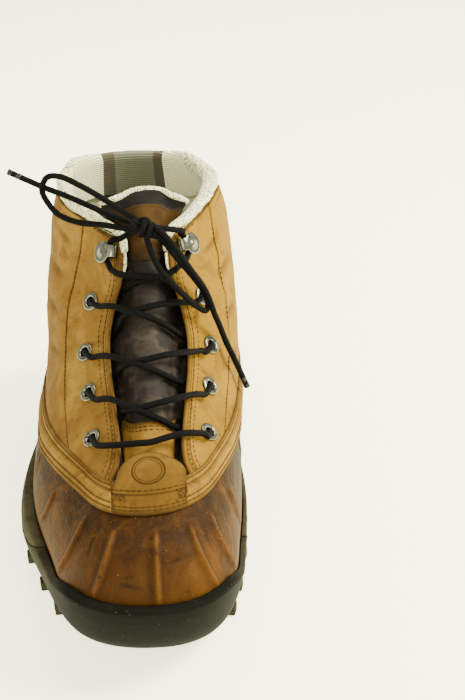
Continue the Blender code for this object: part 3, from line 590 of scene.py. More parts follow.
def carried_frames(path: Array) -> tuple[Array, Array]:
    """Two directions across a path that turn with it and don't twist."""
    ahead = unit(np.gradient(path, axis=0))
    side = np.zeros_like(path)
    start = np.cross(ahead[0], (0.0, 0.0, 1.0))
    if np.linalg.norm(start) < 0.2:
        start = np.cross(ahead[0], (1.0, 0.0, 0.0))
    side[0] = unit(start)
    for k in range(1, len(path)):
        turned = side[k - 1] - ahead[k] * np.dot(side[k - 1], ahead[k])
        side[k] = unit(turned)
    return side, np.cross(ahead, side)


TUBE_DOME = ((1.0, 0.45), (0.7, 0.8))  # a tube's end rings: how far out they lie, and their sizes


def tube(path: Array, radius: Any, sides: int = 14, ends: float = 0.5) -> Shape:
    """A round tube along a path, with UV of turns round it and millimetres along it.

    Args:
        path: its centre line.
        radius: its radius, one number or one for each point.
        sides: points round it.
        ends: how far its domed ends stand out, as a share of the radius.

    Returns:
        The closed tube.
    """
    side, other = carried_frames(path)
    ahead = unit(np.gradient(path, axis=0))
    radius = np.broadcast_to(np.asarray(radius, float), (len(path),))
    along = distances(path)
    stations = [(0, -share, size) for share, size in TUBE_DOME]
    stations += [(k, 0.0, 1.0) for k in range(len(path))]
    stations += [(-1, share, size) for share, size in TUBE_DOME[::-1]]
    angles = circle(sides)[:, None]
    rings, places = [], []
    for k, share, size in stations:
        centre = path[k] + ahead[k] * radius[k] * ends * share
        rings.append(centre + radius[k] * size * (np.cos(angles) * side[k] + np.sin(angles) * other[k]))
        places.append(along[k] + 0.3 * share)
    corners = [
        (j / sides, places[r])
        for row in range(len(rings) - 1)
        for column in range(sides)
        for j, r in ((column, row), (column + 1, row), (column + 1, row + 1), (column, row + 1))
    ]
    corners += [(0.0, places[0])] * sides + [(0.0, places[-1])] * sides
    points, faces = np.concatenate(rings), capped(len(rings), sides)
    return Shape(points, faces, {}, np.array(corners)).turned_out()


def lathe(profile: Sequence[Pair], sides: int) -> tuple[Array, list[Face]]:
    """A ring turned about Z from a closed profile of radius and height."""
    angles = circle(sides)
    profile = np.array(profile, float)
    points = np.stack(
        [np.outer(np.cos(angles), profile[:, 0]), np.outer(np.sin(angles), profile[:, 0])]
        + [np.broadcast_to(profile[:, 1], (sides, len(profile)))],
        -1,
    ).reshape(-1, 3)
    count = len(profile)
    faces = []
    for j in range(sides):
        here, there = j * count, (j + 1) % sides * count
        for i in range(count):
            ahead = (i + 1) % count
            faces.append((here + i, there + i, there + ahead, here + ahead))
    return points, faces


def placed(points: Array, matrix: Matrix) -> Array:
    """Points of a small part, put where a matrix in metres says, in the last's own millimetres."""
    turn = np.array(matrix.to_3x3())
    return points @ turn.T + np.array(matrix.translation) / MM - SHIFT


def baked(obj: Object) -> Mesh:
    """A plain mesh of an object with its modifiers applied. The object is removed."""
    graph = bpy.context.evaluated_depsgraph_get()
    mesh = bpy.data.meshes.new_from_object(obj.evaluated_get(graph))
    bpy.data.objects.remove(obj, do_unlink=True)
    return mesh


def bevelled(mesh: Mesh, width: float, segments: int, angle: float) -> Mesh:
    """A mesh with round edges, where its faces meet at more than an angle in degrees."""
    obj = linked("bevelled", mesh)
    bevel = obj.modifiers.new("bevel", "BEVEL")
    bevel.width = width * MM
    bevel.segments = segments
    bevel.limit_method = "ANGLE"
    bevel.angle_limit = math.radians(angle)
    bpy.context.view_layer.update()
    return baked(obj)


def combined(mesh: Mesh, operations: Sequence[tuple[str, Mesh]]) -> Mesh:
    """A mesh after Booleans with others, in order."""
    obj = linked("base", mesh)
    tools = []
    for operation, other in operations:
        tool = linked("tool", other)
        tools.append(tool)
        cut = obj.modifiers.new(operation.lower(), "BOOLEAN")
        cut.operation = operation
        cut.solver = "EXACT"
        cut.object = tool
    bpy.context.view_layer.update()
    made = baked(obj)
    for tool in tools:
        bpy.data.objects.remove(tool, do_unlink=True)
    return made


# --- Finishes ---


class Signal:
    """A socket that carries a number. Python's operators on it add Math nodes."""

    def __init__(self, sheet: "Sheet", socket: NodeSocket) -> None:
        """Wraps a socket of a sheet's tree."""
        self.sheet = sheet
        self.socket = socket

    def math(self, operation: str, *others: Any, first: bool = True) -> "Signal":
        """A Math node on this number and others; first says whether this one comes first."""
        values = [self, *others] if first else [*others, self]
        node = self.sheet.node("ShaderNodeMath", {"operation": operation}, dict(enumerate(values)))
        return Signal(self.sheet, node.outputs[0])

    def __add__(self, other: Any) -> "Signal":
        """The sum."""
        return self.math("ADD", other)

    __radd__ = __add__

    def __sub__(self, other: Any) -> "Signal":
        """The difference."""
        return self.math("SUBTRACT", other)

    def __rsub__(self, other: Any) -> "Signal":
        """A number less this one."""
        return self.math("SUBTRACT", other, first=False)

    def __mul__(self, other: Any) -> "Signal":
        """The product."""
        return self.math("MULTIPLY", other)

    __rmul__ = __mul__

    def __truediv__(self, other: Any) -> "Signal":
        """The quotient."""
        return self.math("DIVIDE", other)

    def __rtruediv__(self, other: Any) -> "Signal":
        """A number over this one."""
        return self.math("DIVIDE", other, first=False)

    def __pow__(self, other: float) -> "Signal":
        """The power."""
        return self.math("POWER", other)

    def __abs__(self) -> "Signal":
        """The size without its sign."""
        return self.math("ABSOLUTE")

    def least(self, other: Any) -> "Signal":
        """The smaller of two numbers."""
        return self.math("MINIMUM", other)

    def most(self, other: Any) -> "Signal":
        """The larger of two numbers."""
        return self.math("MAXIMUM", other)

    def sine(self) -> "Signal":
        """The sine."""
        return self.math("SINE")

    def step(self, low: float, high: float, start: float = 0.0, end: float = 1.0) -> "Signal":
        """A soft step from start, where this number is low, to end, where it is high."""
        settings = {"interpolation_type": "SMOOTHSTEP"}
        inputs = {"Value": self, "From Min": low, "From Max": high, "To Min": start, "To Max": end}
        if low > high:
            inputs.update({"From Min": high, "From Max": low, "To Min": end, "To Max": start})
        return Signal(self.sheet, self.sheet.node("ShaderNodeMapRange", settings, inputs).outputs[0])

    def line(self, at: float, half_width: float, soft: float = 0.25) -> "Signal":
        """1 on a line where this number is near a value, and 0 away from it."""
        return abs(self - at).step(half_width + soft, half_width)


MIX_SHARE, MIX_A, MIX_B, MIX_RESULT = 0, 6, 7, 2  # a Mix node's colour sockets share their names


class Sheet:
    """A material's nodes: the ways in which the finishes read places and mix colours."""

    def __init__(self, name: str) -> None:
        """Opens the material of a name, or makes one with a Principled shader."""
        self.material = bpy.data.materials.get(name) or bpy.data.materials.new(name)
        self.material.use_nodes = True
        self.tree = self.material.node_tree
        self.shader = self.tree.nodes["Principled BSDF"]
        self.place: NodeSocket | None = None

    def node(
        self, kind: str, settings: dict[str, Any] | None = None, inputs: dict[Any, Any] | None = None
    ) -> Any:
        """A node of the tree.

        Args:
            kind: its type.
            settings: its own settings, which are set first.
            inputs: values or links of its sockets, by name or number.

        Returns:
            The node.
        """
        made = self.tree.nodes.new(kind)
        for label, value in (settings or {}).items():
            setattr(made, label, value)
        for label, value in (inputs or {}).items():
            self.feed(made.inputs[label], value)
        return made

    def feed(self, socket: NodeSocket, value: Any) -> None:
        """Gives a socket a link or a value of its own."""
        if isinstance(value, Signal):
            value = value.socket
        if isinstance(value, NodeSocket):
            self.tree.links.new(value, socket)
        elif isinstance(value, tuple) and socket.type == "RGBA":
            socket.default_value = (*value, 1.0)
        else:
            socket.default_value = value

    def millimetres(self) -> NodeSocket:
        """The place on the piece, in millimetres."""
        if self.place is None:
            source = self.node("ShaderNodeTexCoord").outputs["Object"]
            scaled = self.node("ShaderNodeVectorMath", {"operation": "SCALE"}, {0: source, "Scale": 1 / MM})
            self.place = scaled.outputs[0]
        return self.place

    def stretched(self, scale: Point, vector: NodeSocket | None = None) -> NodeSocket:
        """The place with each axis multiplied."""
        inputs = {0: vector or self.millimetres(), 1: scale}
        return self.node("ShaderNodeVectorMath", {"operation": "MULTIPLY"}, inputs).outputs[0]

    def axis(self, letter: str, vector: NodeSocket | None = None) -> Signal:
        """One coordinate of a place."""
        parts = self.node("ShaderNodeSeparateXYZ", None, {0: vector or self.millimetres()})
        return Signal(self, parts.outputs[letter])

    def carried(self, name: str) -> Signal:
        """A number that the mesh carries."""
        return Signal(self, self.node("ShaderNodeAttribute", {"attribute_name": name}).outputs["Fac"])

    def along(self) -> NodeSocket:
        """The piece's own UV: turns round it, and millimetres along it."""
        return self.node("ShaderNodeUVMap", {"uv_map": "along"}).outputs[0]

    def noise(
        self, size: float, detail: float = 3.0, rough: float = 0.55, vector: Any = None, warp: float = 0.0
    ) -> Signal:
        """Noise of 0 to 1 with features of a size in millimetres."""
        inputs = {
            "Vector": vector or self.millimetres(),
            "Scale": 1 / size,
            "Detail": detail,
            "Roughness": rough,
            "Distortion": warp,
        }
        return Signal(self, self.node("ShaderNodeTexNoise", None, inputs).outputs["Fac"])

    def cells(self, size: float, feature: str = "F1", vector: Any = None) -> Signal:
        """The distance to the nearest of scattered points about a size apart, as a share of it."""
        inputs = {"Vector": vector or self.millimetres(), "Scale": 1 / size}
        node = self.node("ShaderNodeTexVoronoi", {"feature": feature}, inputs)
        return Signal(self, node.outputs["Distance"])

    def mix(self, a: Any, b: Any, share: Any) -> NodeSocket:
        """A colour between two others."""
        inputs = {MIX_SHARE: share, MIX_A: a, MIX_B: b}
        return self.node("ShaderNodeMix", {"data_type": "RGBA"}, inputs).outputs[MIX_RESULT]

    def shade(self, colour: Any, factor: Signal) -> NodeSocket:
        """A colour made lighter or darker by a factor."""
        inputs = {0: colour, "Scale": factor}
        return self.node("ShaderNodeVectorMath", {"operation": "SCALE"}, inputs).outputs[0]

    def relief(self, height: Signal, strength: float = 1.0) -> NodeSocket:
        """The normal of a surface with heights in millimetres."""
        inputs = {"Height": height, "Distance": MM, "Strength": strength}
        return self.node("ShaderNodeBump", None, inputs).outputs[0]

    def dress(self, colour: Any, rough: Any, normal: Any = None, **constants: Any) -> Material:
        """Feeds the shader.

        Args:
            colour: its base colour.
            rough: its roughness.
            normal: its normal, if any.
            constants: values of other sockets, with _ for a space in their names.

        Returns:
            The finished material.
        """
        self.feed(self.shader.inputs["Base Color"], colour)
        self.feed(self.shader.inputs["Roughness"], rough)
        if normal is not None:
            self.feed(self.shader.inputs["Normal"], normal)
        for label, value in constants.items():
            self.feed(self.shader.inputs[label.replace("_", " ")], value)
        return self.material


FACING_ROWS = (2.4, 4.9)  # the stitch rows of a facing, as distances from its edge


@dataclass(frozen=True)
class NubuckFinish:
    """Brushed tan leather: mottled, darker where it is touched most, paler where it is rubbed."""

    name: str = "tan_nubuck"
    pale: Colour = (0.232, 0.130, 0.0235)
    tan: Colour = (0.150, 0.076, 0.0122)
    deep: Colour = (0.074, 0.030, 0.0040)
    # the dark colour of dirt at the edges, and of the painted shade in grooves
    dirt_and_shade: Colour = (0.028, 0.013, 0.0028)
    # painted light: the yellow colour that the medial side takes, lit by the key light
    glow: Colour = (0.205, 0.108, 0.0030)
    rows: tuple[float, ...] = ()  # stitch rows, as distances from the edge
    medial_painted_light: float = 0.75  # how much painted light yellows the leather towards the medial side, where the key light falls
    stained: float = 0.55  # how dark its stains are

    def make(self) -> Material:
        """Builds the material."""
        s = Sheet(self.name)
        cloud = s.noise(30, 4, 0.62, warp=0.8)
        patch = s.noise(9, 5, 0.66, warp=0.4)
        nap = s.noise(0.6, 4, 0.7)
        grain = s.noise(1.8, 3, 0.6)
        runs = s.noise(5.5, 4, 0.62, s.stretched((1.0, 1.0, 0.28)), 0.5)
        colour = s.mix(self.tan, self.pale, cloud.step(0.44, 0.66) * 0.8)
        # painted light: the medial side, towards the key light, yellower
        colour = s.mix(colour, self.glow, s.axis("X").step(4, 50) * self.medial_painted_light)
        colour = s.mix(colour, self.deep, patch.step(0.50, 0.74) * self.stained)
        colour = s.mix(colour, self.deep, runs.step(0.52, 0.74) * self.stained * 0.7)
        blotch = s.noise(3.4, 5, 0.72).step(0.57, 0.70) * cloud.step(0.62, 0.40)
        colour = s.mix(colour, self.deep, blotch * 0.7)
        edge = s.carried("edge")
        colour = s.mix(colour, self.dirt_and_shade, edge.step(2.4, -0.3) * 0.7)
        height = nap * 0.12 + grain * 0.16 + patch * 0.5
        for row in self.rows:
            groove = edge.line(row, 0.3, 0.45)
            height = height - groove * 0.4 + edge.line(row + 1.1, 0.3, 0.6) * 0.10
            # painted shade in the stitch row's groove
            colour = s.mix(colour, self.dirt_and_shade, groove * 0.55)
        wear = s.noise(2.3, 5, 0.75).step(0.60, 0.68) * s.noise(24, 2).step(0.45, 0.62)
        colour = s.mix(colour, self.pale, wear * 0.6)
        colour = s.shade(colour, nap * 0.5 + 0.75)
        colour, height = self.marked(s, colour, height)
        rough = 0.90 - cloud * 0.14
        return s.dress(colour, rough, s.relief(height, 1.0), Specular_IOR_Level=0.08)

    def marked(self, s: Sheet, colour: NodeSocket, height: Signal) -> tuple[NodeSocket, Signal]:
        """Adds the marks of a piece's own to the leather's colour and height. Here there are none."""
        return colour, height


@dataclass(frozen=True)
class QuarterFinish(NubuckFinish):
    """The quarters' nubuck, with the panel's stitched seam and the collar's."""

    name: str = "quarter_nubuck"
    rows: tuple[float, ...] = FACING_ROWS

    def marked(self, s: Sheet, colour: NodeSocket, height: Signal) -> tuple[NodeSocket, Signal]:
        """Adds the seams, the creases with painted shade in them, and a painted shade on the lateral flank.
        """
        panel, rim, crease = s.carried("panel"), s.carried("rim"), s.carried("crease")
        seam = panel.line(0.0, 0.3, 0.4)
        fold = panel.step(-0.2, 0.9) * panel.step(9.0, 2.0)
        hem = rim.line(3.2, 0.25, 0.45)
        low = s.axis("Z").step(92, 58) * s.noise(13, 4, 0.6, warp=0.6).step(0.36, 0.60)
        colour = s.mix(colour, self.deep, low * 0.55)
        # painted shade: the lateral flank, away from the key light, darker
        colour = s.mix(colour, self.deep, s.axis("X").step(-34, -54) * 0.45)
        colour = s.mix(colour, self.dirt_and_shade, seam * 0.6)
        colour = s.mix(colour, self.dirt_and_shade, hem * 0.4)
        colour = s.mix(colour, self.dirt_and_shade, rim.step(1.8, 0.0) * 0.35)
        # painted shade in the creases' troughs
        colour = s.mix(colour, self.deep, crease * 0.75)
        wrinkle = s.noise(3.2, 3, 0.6, s.stretched((1.0, 1.0, 2.6)), 0.4)
        return colour, height - seam * 0.55 + fold * 0.28 - hem * 0.3 + wrinkle * 0.22


@dataclass(frozen=True)
class TabFinish(NubuckFinish):
    """The darker, much-touched nubuck of tab and band, with painted shade in its pressed lines."""

    name: str = "tab_nubuck"
    pale: Colour = (0.114, 0.060, 0.0084)
    tan: Colour = (0.072, 0.034, 0.0043)
    deep: Colour = (0.040, 0.017, 0.0022)
    medial_painted_light: float = 0.3
    rubbed: Colour = (0.36, 0.27, 0.12)

    def marked(self, s: Sheet, colour: NodeSocket, height: Signal) -> tuple[NodeSocket, Signal]:
        """Adds painted shade in the pressed lines, and the rubbed edge."""
        # painted shade in the pressed lines' grooves
        colour = s.mix(colour, self.dirt_and_shade, s.carried("crease") * 0.8)
        rubbed = s.carried("edge").step(1.7, 0.3) * s.noise(3.5, 4, 0.7).step(0.57, 0.64)
        return s.mix(colour, self.rubbed, rubbed * s.axis("Z").step(62, 46) * 0.7), height


@dataclass(frozen=True)
class BandFinish(TabFinish):
    """The band's and the tongue base's nubuck, which is paler than the tab's."""

    name: str = "band_nubuck"
    pale: Colour = (0.225, 0.128, 0.0210)
    tan: Colour = (0.150, 0.076, 0.0110)
    deep: Colour = (0.064, 0.027, 0.0030)


@dataclass(frozen=True)
class PanelFinish(NubuckFinish):
    """The tongue panel's brown nubuck, with a painted shade towards its foot."""

    name: str = "tongue_panel_leather"
    pale: Colour = (0.052, 0.027, 0.0060)
    tan: Colour = (0.033, 0.0150, 0.0036)
    deep: Colour = (0.019, 0.0085, 0.0024)
    medial_painted_light: float = 0.0
    # the painted shade's colour at the foot
    painted_foot_shade: Colour = (0.006, 0.0030, 0.0015)

    def marked(self, s: Sheet, colour: NodeSocket, height: Signal) -> tuple[NodeSocket, Signal]:
        """Paints shade over the foot."""
        return s.mix(colour, self.painted_foot_shade, s.axis("Z").step(150, 136) * 0.8), height


@dataclass(frozen=True)
class OiledLeatherFinish:
    """The vamp's oiled, scuffed leather, with painted shade in the creases and beside the ribs, and a
    painted orange highlight on the ribs' crests.
    """

    name: str = "vamp_leather"
    brown: Colour = (0.037, 0.0140, 0.0023)
    orange: Colour = (0.092, 0.0355, 0.0050)
    dark: Colour = (0.0120, 0.0054, 0.0017)
    scratch: Colour = (0.22, 0.100, 0.020)

    def make(self) -> Material:
        """Builds the material."""
        s = Sheet(self.name)
        rib, high, crease = s.carried("rib"), s.carried("high"), s.carried("crease")
        cloud = s.noise(26, 4, 0.62, warp=0.7)
        patch = s.noise(7, 5, 0.65, warp=0.5)
        pores = s.noise(0.42, 3, 0.7)
        grain = s.cells(1.15)
        side = s.axis("X").step(-14, -52)
        colour = s.mix(self.brown, self.orange, cloud.step(0.47, 0.70) * 0.65)
        colour = s.mix(colour, self.orange, side * patch.step(0.66, 0.42) * 0.45)
        colour = s.mix(colour, self.dark, high.step(0.35, 0.95) * patch.step(0.34, 0.56) * 0.7)
        colour = s.mix(colour, self.dark, patch.step(0.53, 0.70) * cloud.step(0.60, 0.40) * 0.8)
        # painted shade in the creases and beside the ribs
        colour = s.mix(colour, self.dark, crease * 0.8)
        # painted highlight: the ribs' crests orange
        colour = s.mix(colour, self.orange, rib * patch.step(0.72, 0.42) * 0.75)
        colour = s.mix(colour, self.orange, high.step(0.14, 0.0) * 0.35)
        streak = s.noise(1.0, 3, 0.6, s.stretched((1.0, 0.16, 0.5))).step(0.70, 0.75)
        thin = s.noise(0.8, 2, 0.5, s.stretched((0.22, 1.0, 0.6))).step(0.735, 0.765)
        nicks = s.noise(1.5, 2, 0.5).step(0.715, 0.745) * 0.7
        where = s.noise(17, 2).step(0.48, 0.58)
        scuffs = ((streak + thin + nicks) * where).least(1.0)
        colour = s.mix(colour, self.scratch, scuffs * 0.8)
        colour = s.shade(colour, pores * 0.45 + 0.78)
        height = grain.step(0.0, 0.7) * 0.16 + pores * 0.10 + patch * 0.35 + scuffs * 0.08
        rough = 0.62 - patch * 0.16 + scuffs * 0.2 - rib * 0.06
        return s.dress(colour, rough, s.relief(height, 0.9), Specular_IOR_Level=0.045)


@dataclass(frozen=True)
class SmoothLeatherFinish:
    """The tongue's smooth dark leather, wrinkled, worn and rubbed to a dull shine, with a painted sheen on
    its folds; darker on its top strip, with a painted shade below the panel.
    """

    name: str = "tongue_leather"
    dark: Colour = (0.0085, 0.0056, 0.0046)
    # the colour of wear, and of the painted sheen on the folds
    worn_and_sheen: Colour = (0.030, 0.0215, 0.0150)
    # the dark top strip's colour, and that of the painted shade below the panel
    strip_and_shade: Colour = (0.0042, 0.0028, 0.0024)

    def make(self) -> Material:
        """Builds the material."""
        s = Sheet(self.name)
        folds = s.noise(8.5, 3, 0.5, s.stretched((0.7, 1.0, 1.5)), 0.5)
        fine = s.cells(1.3)
        rub = s.noise(15, 3, 0.6)
        # wear, and a painted sheen on the folds' crests
        colour = s.mix(self.dark, self.worn_and_sheen, folds.step(0.40, 0.66) * rub.step(0.34, 0.62))
        colour = s.mix(colour, self.worn_and_sheen, s.noise(0.5, 3, 0.7).step(0.6, 0.7) * 0.25)
        # darker: the real top strip above the panel, and a painted shade below the panel
        colour = s.mix(colour, self.strip_and_shade, s.carried("high"))
        height = folds * 1.6 + fine.step(0.0, 0.6) * 0.09 + s.noise(0.6, 3) * 0.05
        rough = 0.56 + rub * 0.2
        return s.dress(colour, rough, s.relief(height, 0.8), Specular_IOR_Level=0.13)


@dataclass(frozen=True)
class RubberFinish:
    """Dusty grey-olive rubber."""

    name: str
    base: Colour = (0.0022, 0.0025, 0.0021)
    dust: Colour = (0.0520, 0.0440, 0.0215)
    speck: Colour = (0.10, 0.095, 0.066)
    dusty: float = 0.5

    def make(self) -> Material:
        """Builds the material."""
        s = Sheet(self.name)
        cloud = s.noise(22, 4, 0.6, warp=0.5)
        fine = s.noise(0.9, 4, 0.75)
        specks = s.cells(2.4).step(0.16, 0.08) * s.noise(13, 2).step(0.45, 0.6)
        low = s.axis("Z").step(16, 0)
        clean = s.axis("Y").step(-92, -124) * 0.92
        dusty = (1 - clean) * self.dusty
        smear = s.noise(3.0, 4, 0.65, s.stretched((0.35, 0.35, 1.2)))
        colour = s.mix(self.base, self.dust, (cloud.step(0.30, 0.66) * 0.55 + 0.45) * dusty)
        colour = s.mix(colour, self.dust, smear.step(0.48, 0.72) * dusty * 0.7)
        colour = s.mix(colour, self.dust, low * fine.step(0.42, 0.60) * 0.55)
        colour = s.mix(colour, self.speck, specks * 0.4)
        scrape = s.noise(1.2, 3, 0.6, s.stretched((0.12, 0.3, 1.0))).step(0.69, 0.74)
        colour = s.mix(colour, self.speck, scrape * s.noise(20, 2).step(0.5, 0.62) * 0.5)
        height = fine * 0.07 + s.noise(0.35, 2) * 0.03 + smear * 0.12 - scrape * 0.08
        rough = 0.60 + cloud * 0.2 + specks * 0.1
        return s.dress(colour, rough, s.relief(height, 0.7), Specular_IOR_Level=0.03)


@dataclass(frozen=True)
class ClothFinish:
    """The collar's cloth: a flecked cream knit, and a ribbed lining with a check at its back.

    Where the mesh's "knit" is 1 it is knit; where it is 0 it is lining.
    """

    name: str = "collar_cloth"
    cream: Colour = (0.84, 0.82, 0.47)
    shadow: Colour = (0.30, 0.27, 0.12)
    # dark flecks of the yarn, and painted shade between knit loops and in the lining's rib troughs
    fleck_and_shade: Colour = (0.040, 0.032, 0.012)
    pale: Colour = (0.74, 0.73, 0.44)
    olive: Colour = (0.034, 0.027, 0.0060)
    green: Colour = (0.100, 0.104, 0.056)
    # painted shade deep inside the boot
    depth: Colour = (0.05, 0.042, 0.02)
    loop: float = 1.45  # from one loop of the knit to the next
    rib: float = 1.3  # from one rib of the lining to the next

    def make(self) -> Material:
        """Builds the material."""
        s = Sheet(self.name)
        turn, deep, knitted = s.carried("turn"), s.carried("rim"), s.carried("knit")
        loops = s.cells(self.loop)
        fibre = s.noise(0.35, 3, 0.75)
        knit = s.mix(self.cream, self.shadow, loops.step(0.36, 0.70) * 0.4)
        # dark flecks, and painted shade between the loops
        knit = s.mix(knit, self.fleck_and_shade, s.noise(1.15, 3, 0.7).step(0.515, 0.58) * 0.9)
        knit = s.mix(knit, self.shadow, s.noise(12, 3).step(0.5, 0.75) * 0.12)
        first = turn.step(0.4315, 0.4335) * turn.step(0.4635, 0.4615)
        second = turn.step(0.5365, 0.5385) * turn.step(0.5615, 0.5595)
        block = turn.step(0.457, 0.460) * turn.step(0.540, 0.537)
        ribs = (deep * (2 * math.pi / self.rib) + s.noise(6, 2) * 1.2).sine()
        lining = s.mix(self.pale, self.green, block)
        lining = s.mix(lining, self.olive, (first + second).least(1.0))
        # painted shade in the troughs between the lining's ribs
        lining = s.mix(lining, self.fleck_and_shade, ribs.step(0.1, -0.8) * 0.45)
        # painted shade: the lining darker the deeper it lies below the collar
        lining = s.mix(lining, self.depth, deep.step(14, 55) * 0.8)
        colour = s.shade(s.mix(lining, knit, knitted), fibre * 0.55 + 0.72)
        looped = loops.step(0.8, 0.1) * 0.5 + fibre * 0.22
        woven = ribs * 0.16 + fibre * 0.18
        height = looped * knitted + woven * (1 - knitted)
        return s.dress(colour, 0.95, s.relief(height, 0.9), Sheen_Weight=0.2)


@dataclass(frozen=True)
class FoamFinish:
    """The footbed's dark cloth."""

    name: str = "footbed_cloth"
    base: Colour = (0.075, 0.062, 0.045)

    def make(self) -> Material:
        """Builds the material."""
        s = Sheet(self.name)
        weave = s.cells(0.9)
        colour = s.shade(self.base, s.noise(18, 3) * 0.8 + 0.6)
        return s.dress(colour, 0.95, s.relief(weave * 0.3 + s.noise(0.4) * 0.1, 0.8))


@dataclass(frozen=True)
class NickelFinish:
    """Plated metal, scratched, with dark patches that are partly tarnish and partly painted reflections of
    dark surroundings.
    """

    name: str = "worn_nickel"
    bright: Colour = (0.15, 0.15, 0.115)
    tarnish_and_reflection: Colour = (0.020, 0.019, 0.012)
    tarnish_and_reflection_share: float = 0.8

    def make(self) -> Material:
        """Builds the material."""
        s = Sheet(self.name)
        cloud = s.noise(2.2, 4, 0.65)
        hair = s.noise(0.25, 2, 0.5, s.stretched((1.0, 0.12, 0.4)))
        pits = s.noise(0.5, 3, 0.7).step(0.60, 0.68)
        # dark patches: tarnish, and painted dark reflections
        colour = s.mix(self.bright, self.tarnish_and_reflection, cloud.step(0.46, 0.68) * self.tarnish_and_reflection_share)
        colour = s.mix(colour, self.tarnish_and_reflection, pits * self.tarnish_and_reflection_share)
        rough = 0.12 + cloud * 0.2 + pits * 0.15
        return s.dress(colour, rough, s.relief(hair * 0.02 - pits * 0.02, 0.6), Metallic=1.0)


@dataclass(frozen=True)
class LaceFinish:
    """A round black braid: two sets of strands that cross along it."""

    name: str = "black_braid"
    black: Colour = (0.0013, 0.0013, 0.0015)
    fuzz: Colour = (0.0070, 0.0068, 0.0064)
    strands: int = 8
    pitch: float = 9.0  # millimetres along the lace for a full turn of a strand

    def make(self) -> Material:
        """Builds the material."""
        s = Sheet(self.name)
        uv = s.along()
        turns, run = s.axis("X", uv) * self.strands, s.axis("Y", uv) * (self.strands / self.pitch)
        left = ((turns + run) * math.pi).sine()
        right = ((turns - run) * math.pi).sine()
        braid = abs(left).most(abs(right))
        gap = abs(left).least(abs(right))
        fibre = s.noise(0.22, 2, 0.6)
        colour = s.mix(self.black, self.fuzz, gap.step(0.3, 0.9) * fibre.step(0.35, 0.7))
        height = braid * 0.22 + gap * 0.16 + fibre * 0.05
        return s.dress(colour, 0.7, s.relief(height, 1.0), Specular_IOR_Level=0.05)


@dataclass(frozen=True)
class TipFinish:
    """The sealed plastic at a lace's end."""

    name: str = "lace_tip"
    base: Colour = (0.003, 0.003, 0.0035)

    def make(self) -> Material:
        """Builds the material."""
        s = Sheet(self.name)
        colour = s.shade(self.base, s.noise(1.5, 3) * 0.9 + 0.6)
        return s.dress(colour, 0.32, s.relief(s.noise(0.9, 2) * 0.12, 0.6), Specular_IOR_Level=0.25)


@dataclass(frozen=True)
class ThreadFinish:
    """Twisted thread."""

    name: str = "brown_thread"
    base: Colour = (0.042, 0.019, 0.0050)

    def make(self) -> Material:
        """Builds the material."""
        s = Sheet(self.name)
        colour = s.shade(self.base, s.noise(1.1, 3) * 1.3 + 0.4)
        return s.dress(colour, 0.8, s.relief(s.noise(0.3, 2) * 0.1, 0.6), Specular_IOR_Level=0.08)


@dataclass(frozen=True)
class FloorFinish:
    """The plain pale floor."""

    name: str = "pale_floor"
    base: Colour = (0.93, 0.935, 0.68)
    glow: float = 2.3

    def make(self) -> Material:
        """Builds the material."""
        s = Sheet(self.name)
        pale = s.shade(self.base, s.noise(260, 2) * 0.03 + 0.985)
        return s.dress(pale, 0.85, Emission_Color=self.base, Emission_Strength=self.glow)


# --- Studio ---


@dataclass(frozen=True)
class Lamp:
    """A soft square light: where it hangs, what it points at, its side, power and colour."""

    name: str
    at: Point
    aim: Point
    side: float
    power: float
    colour: Colour


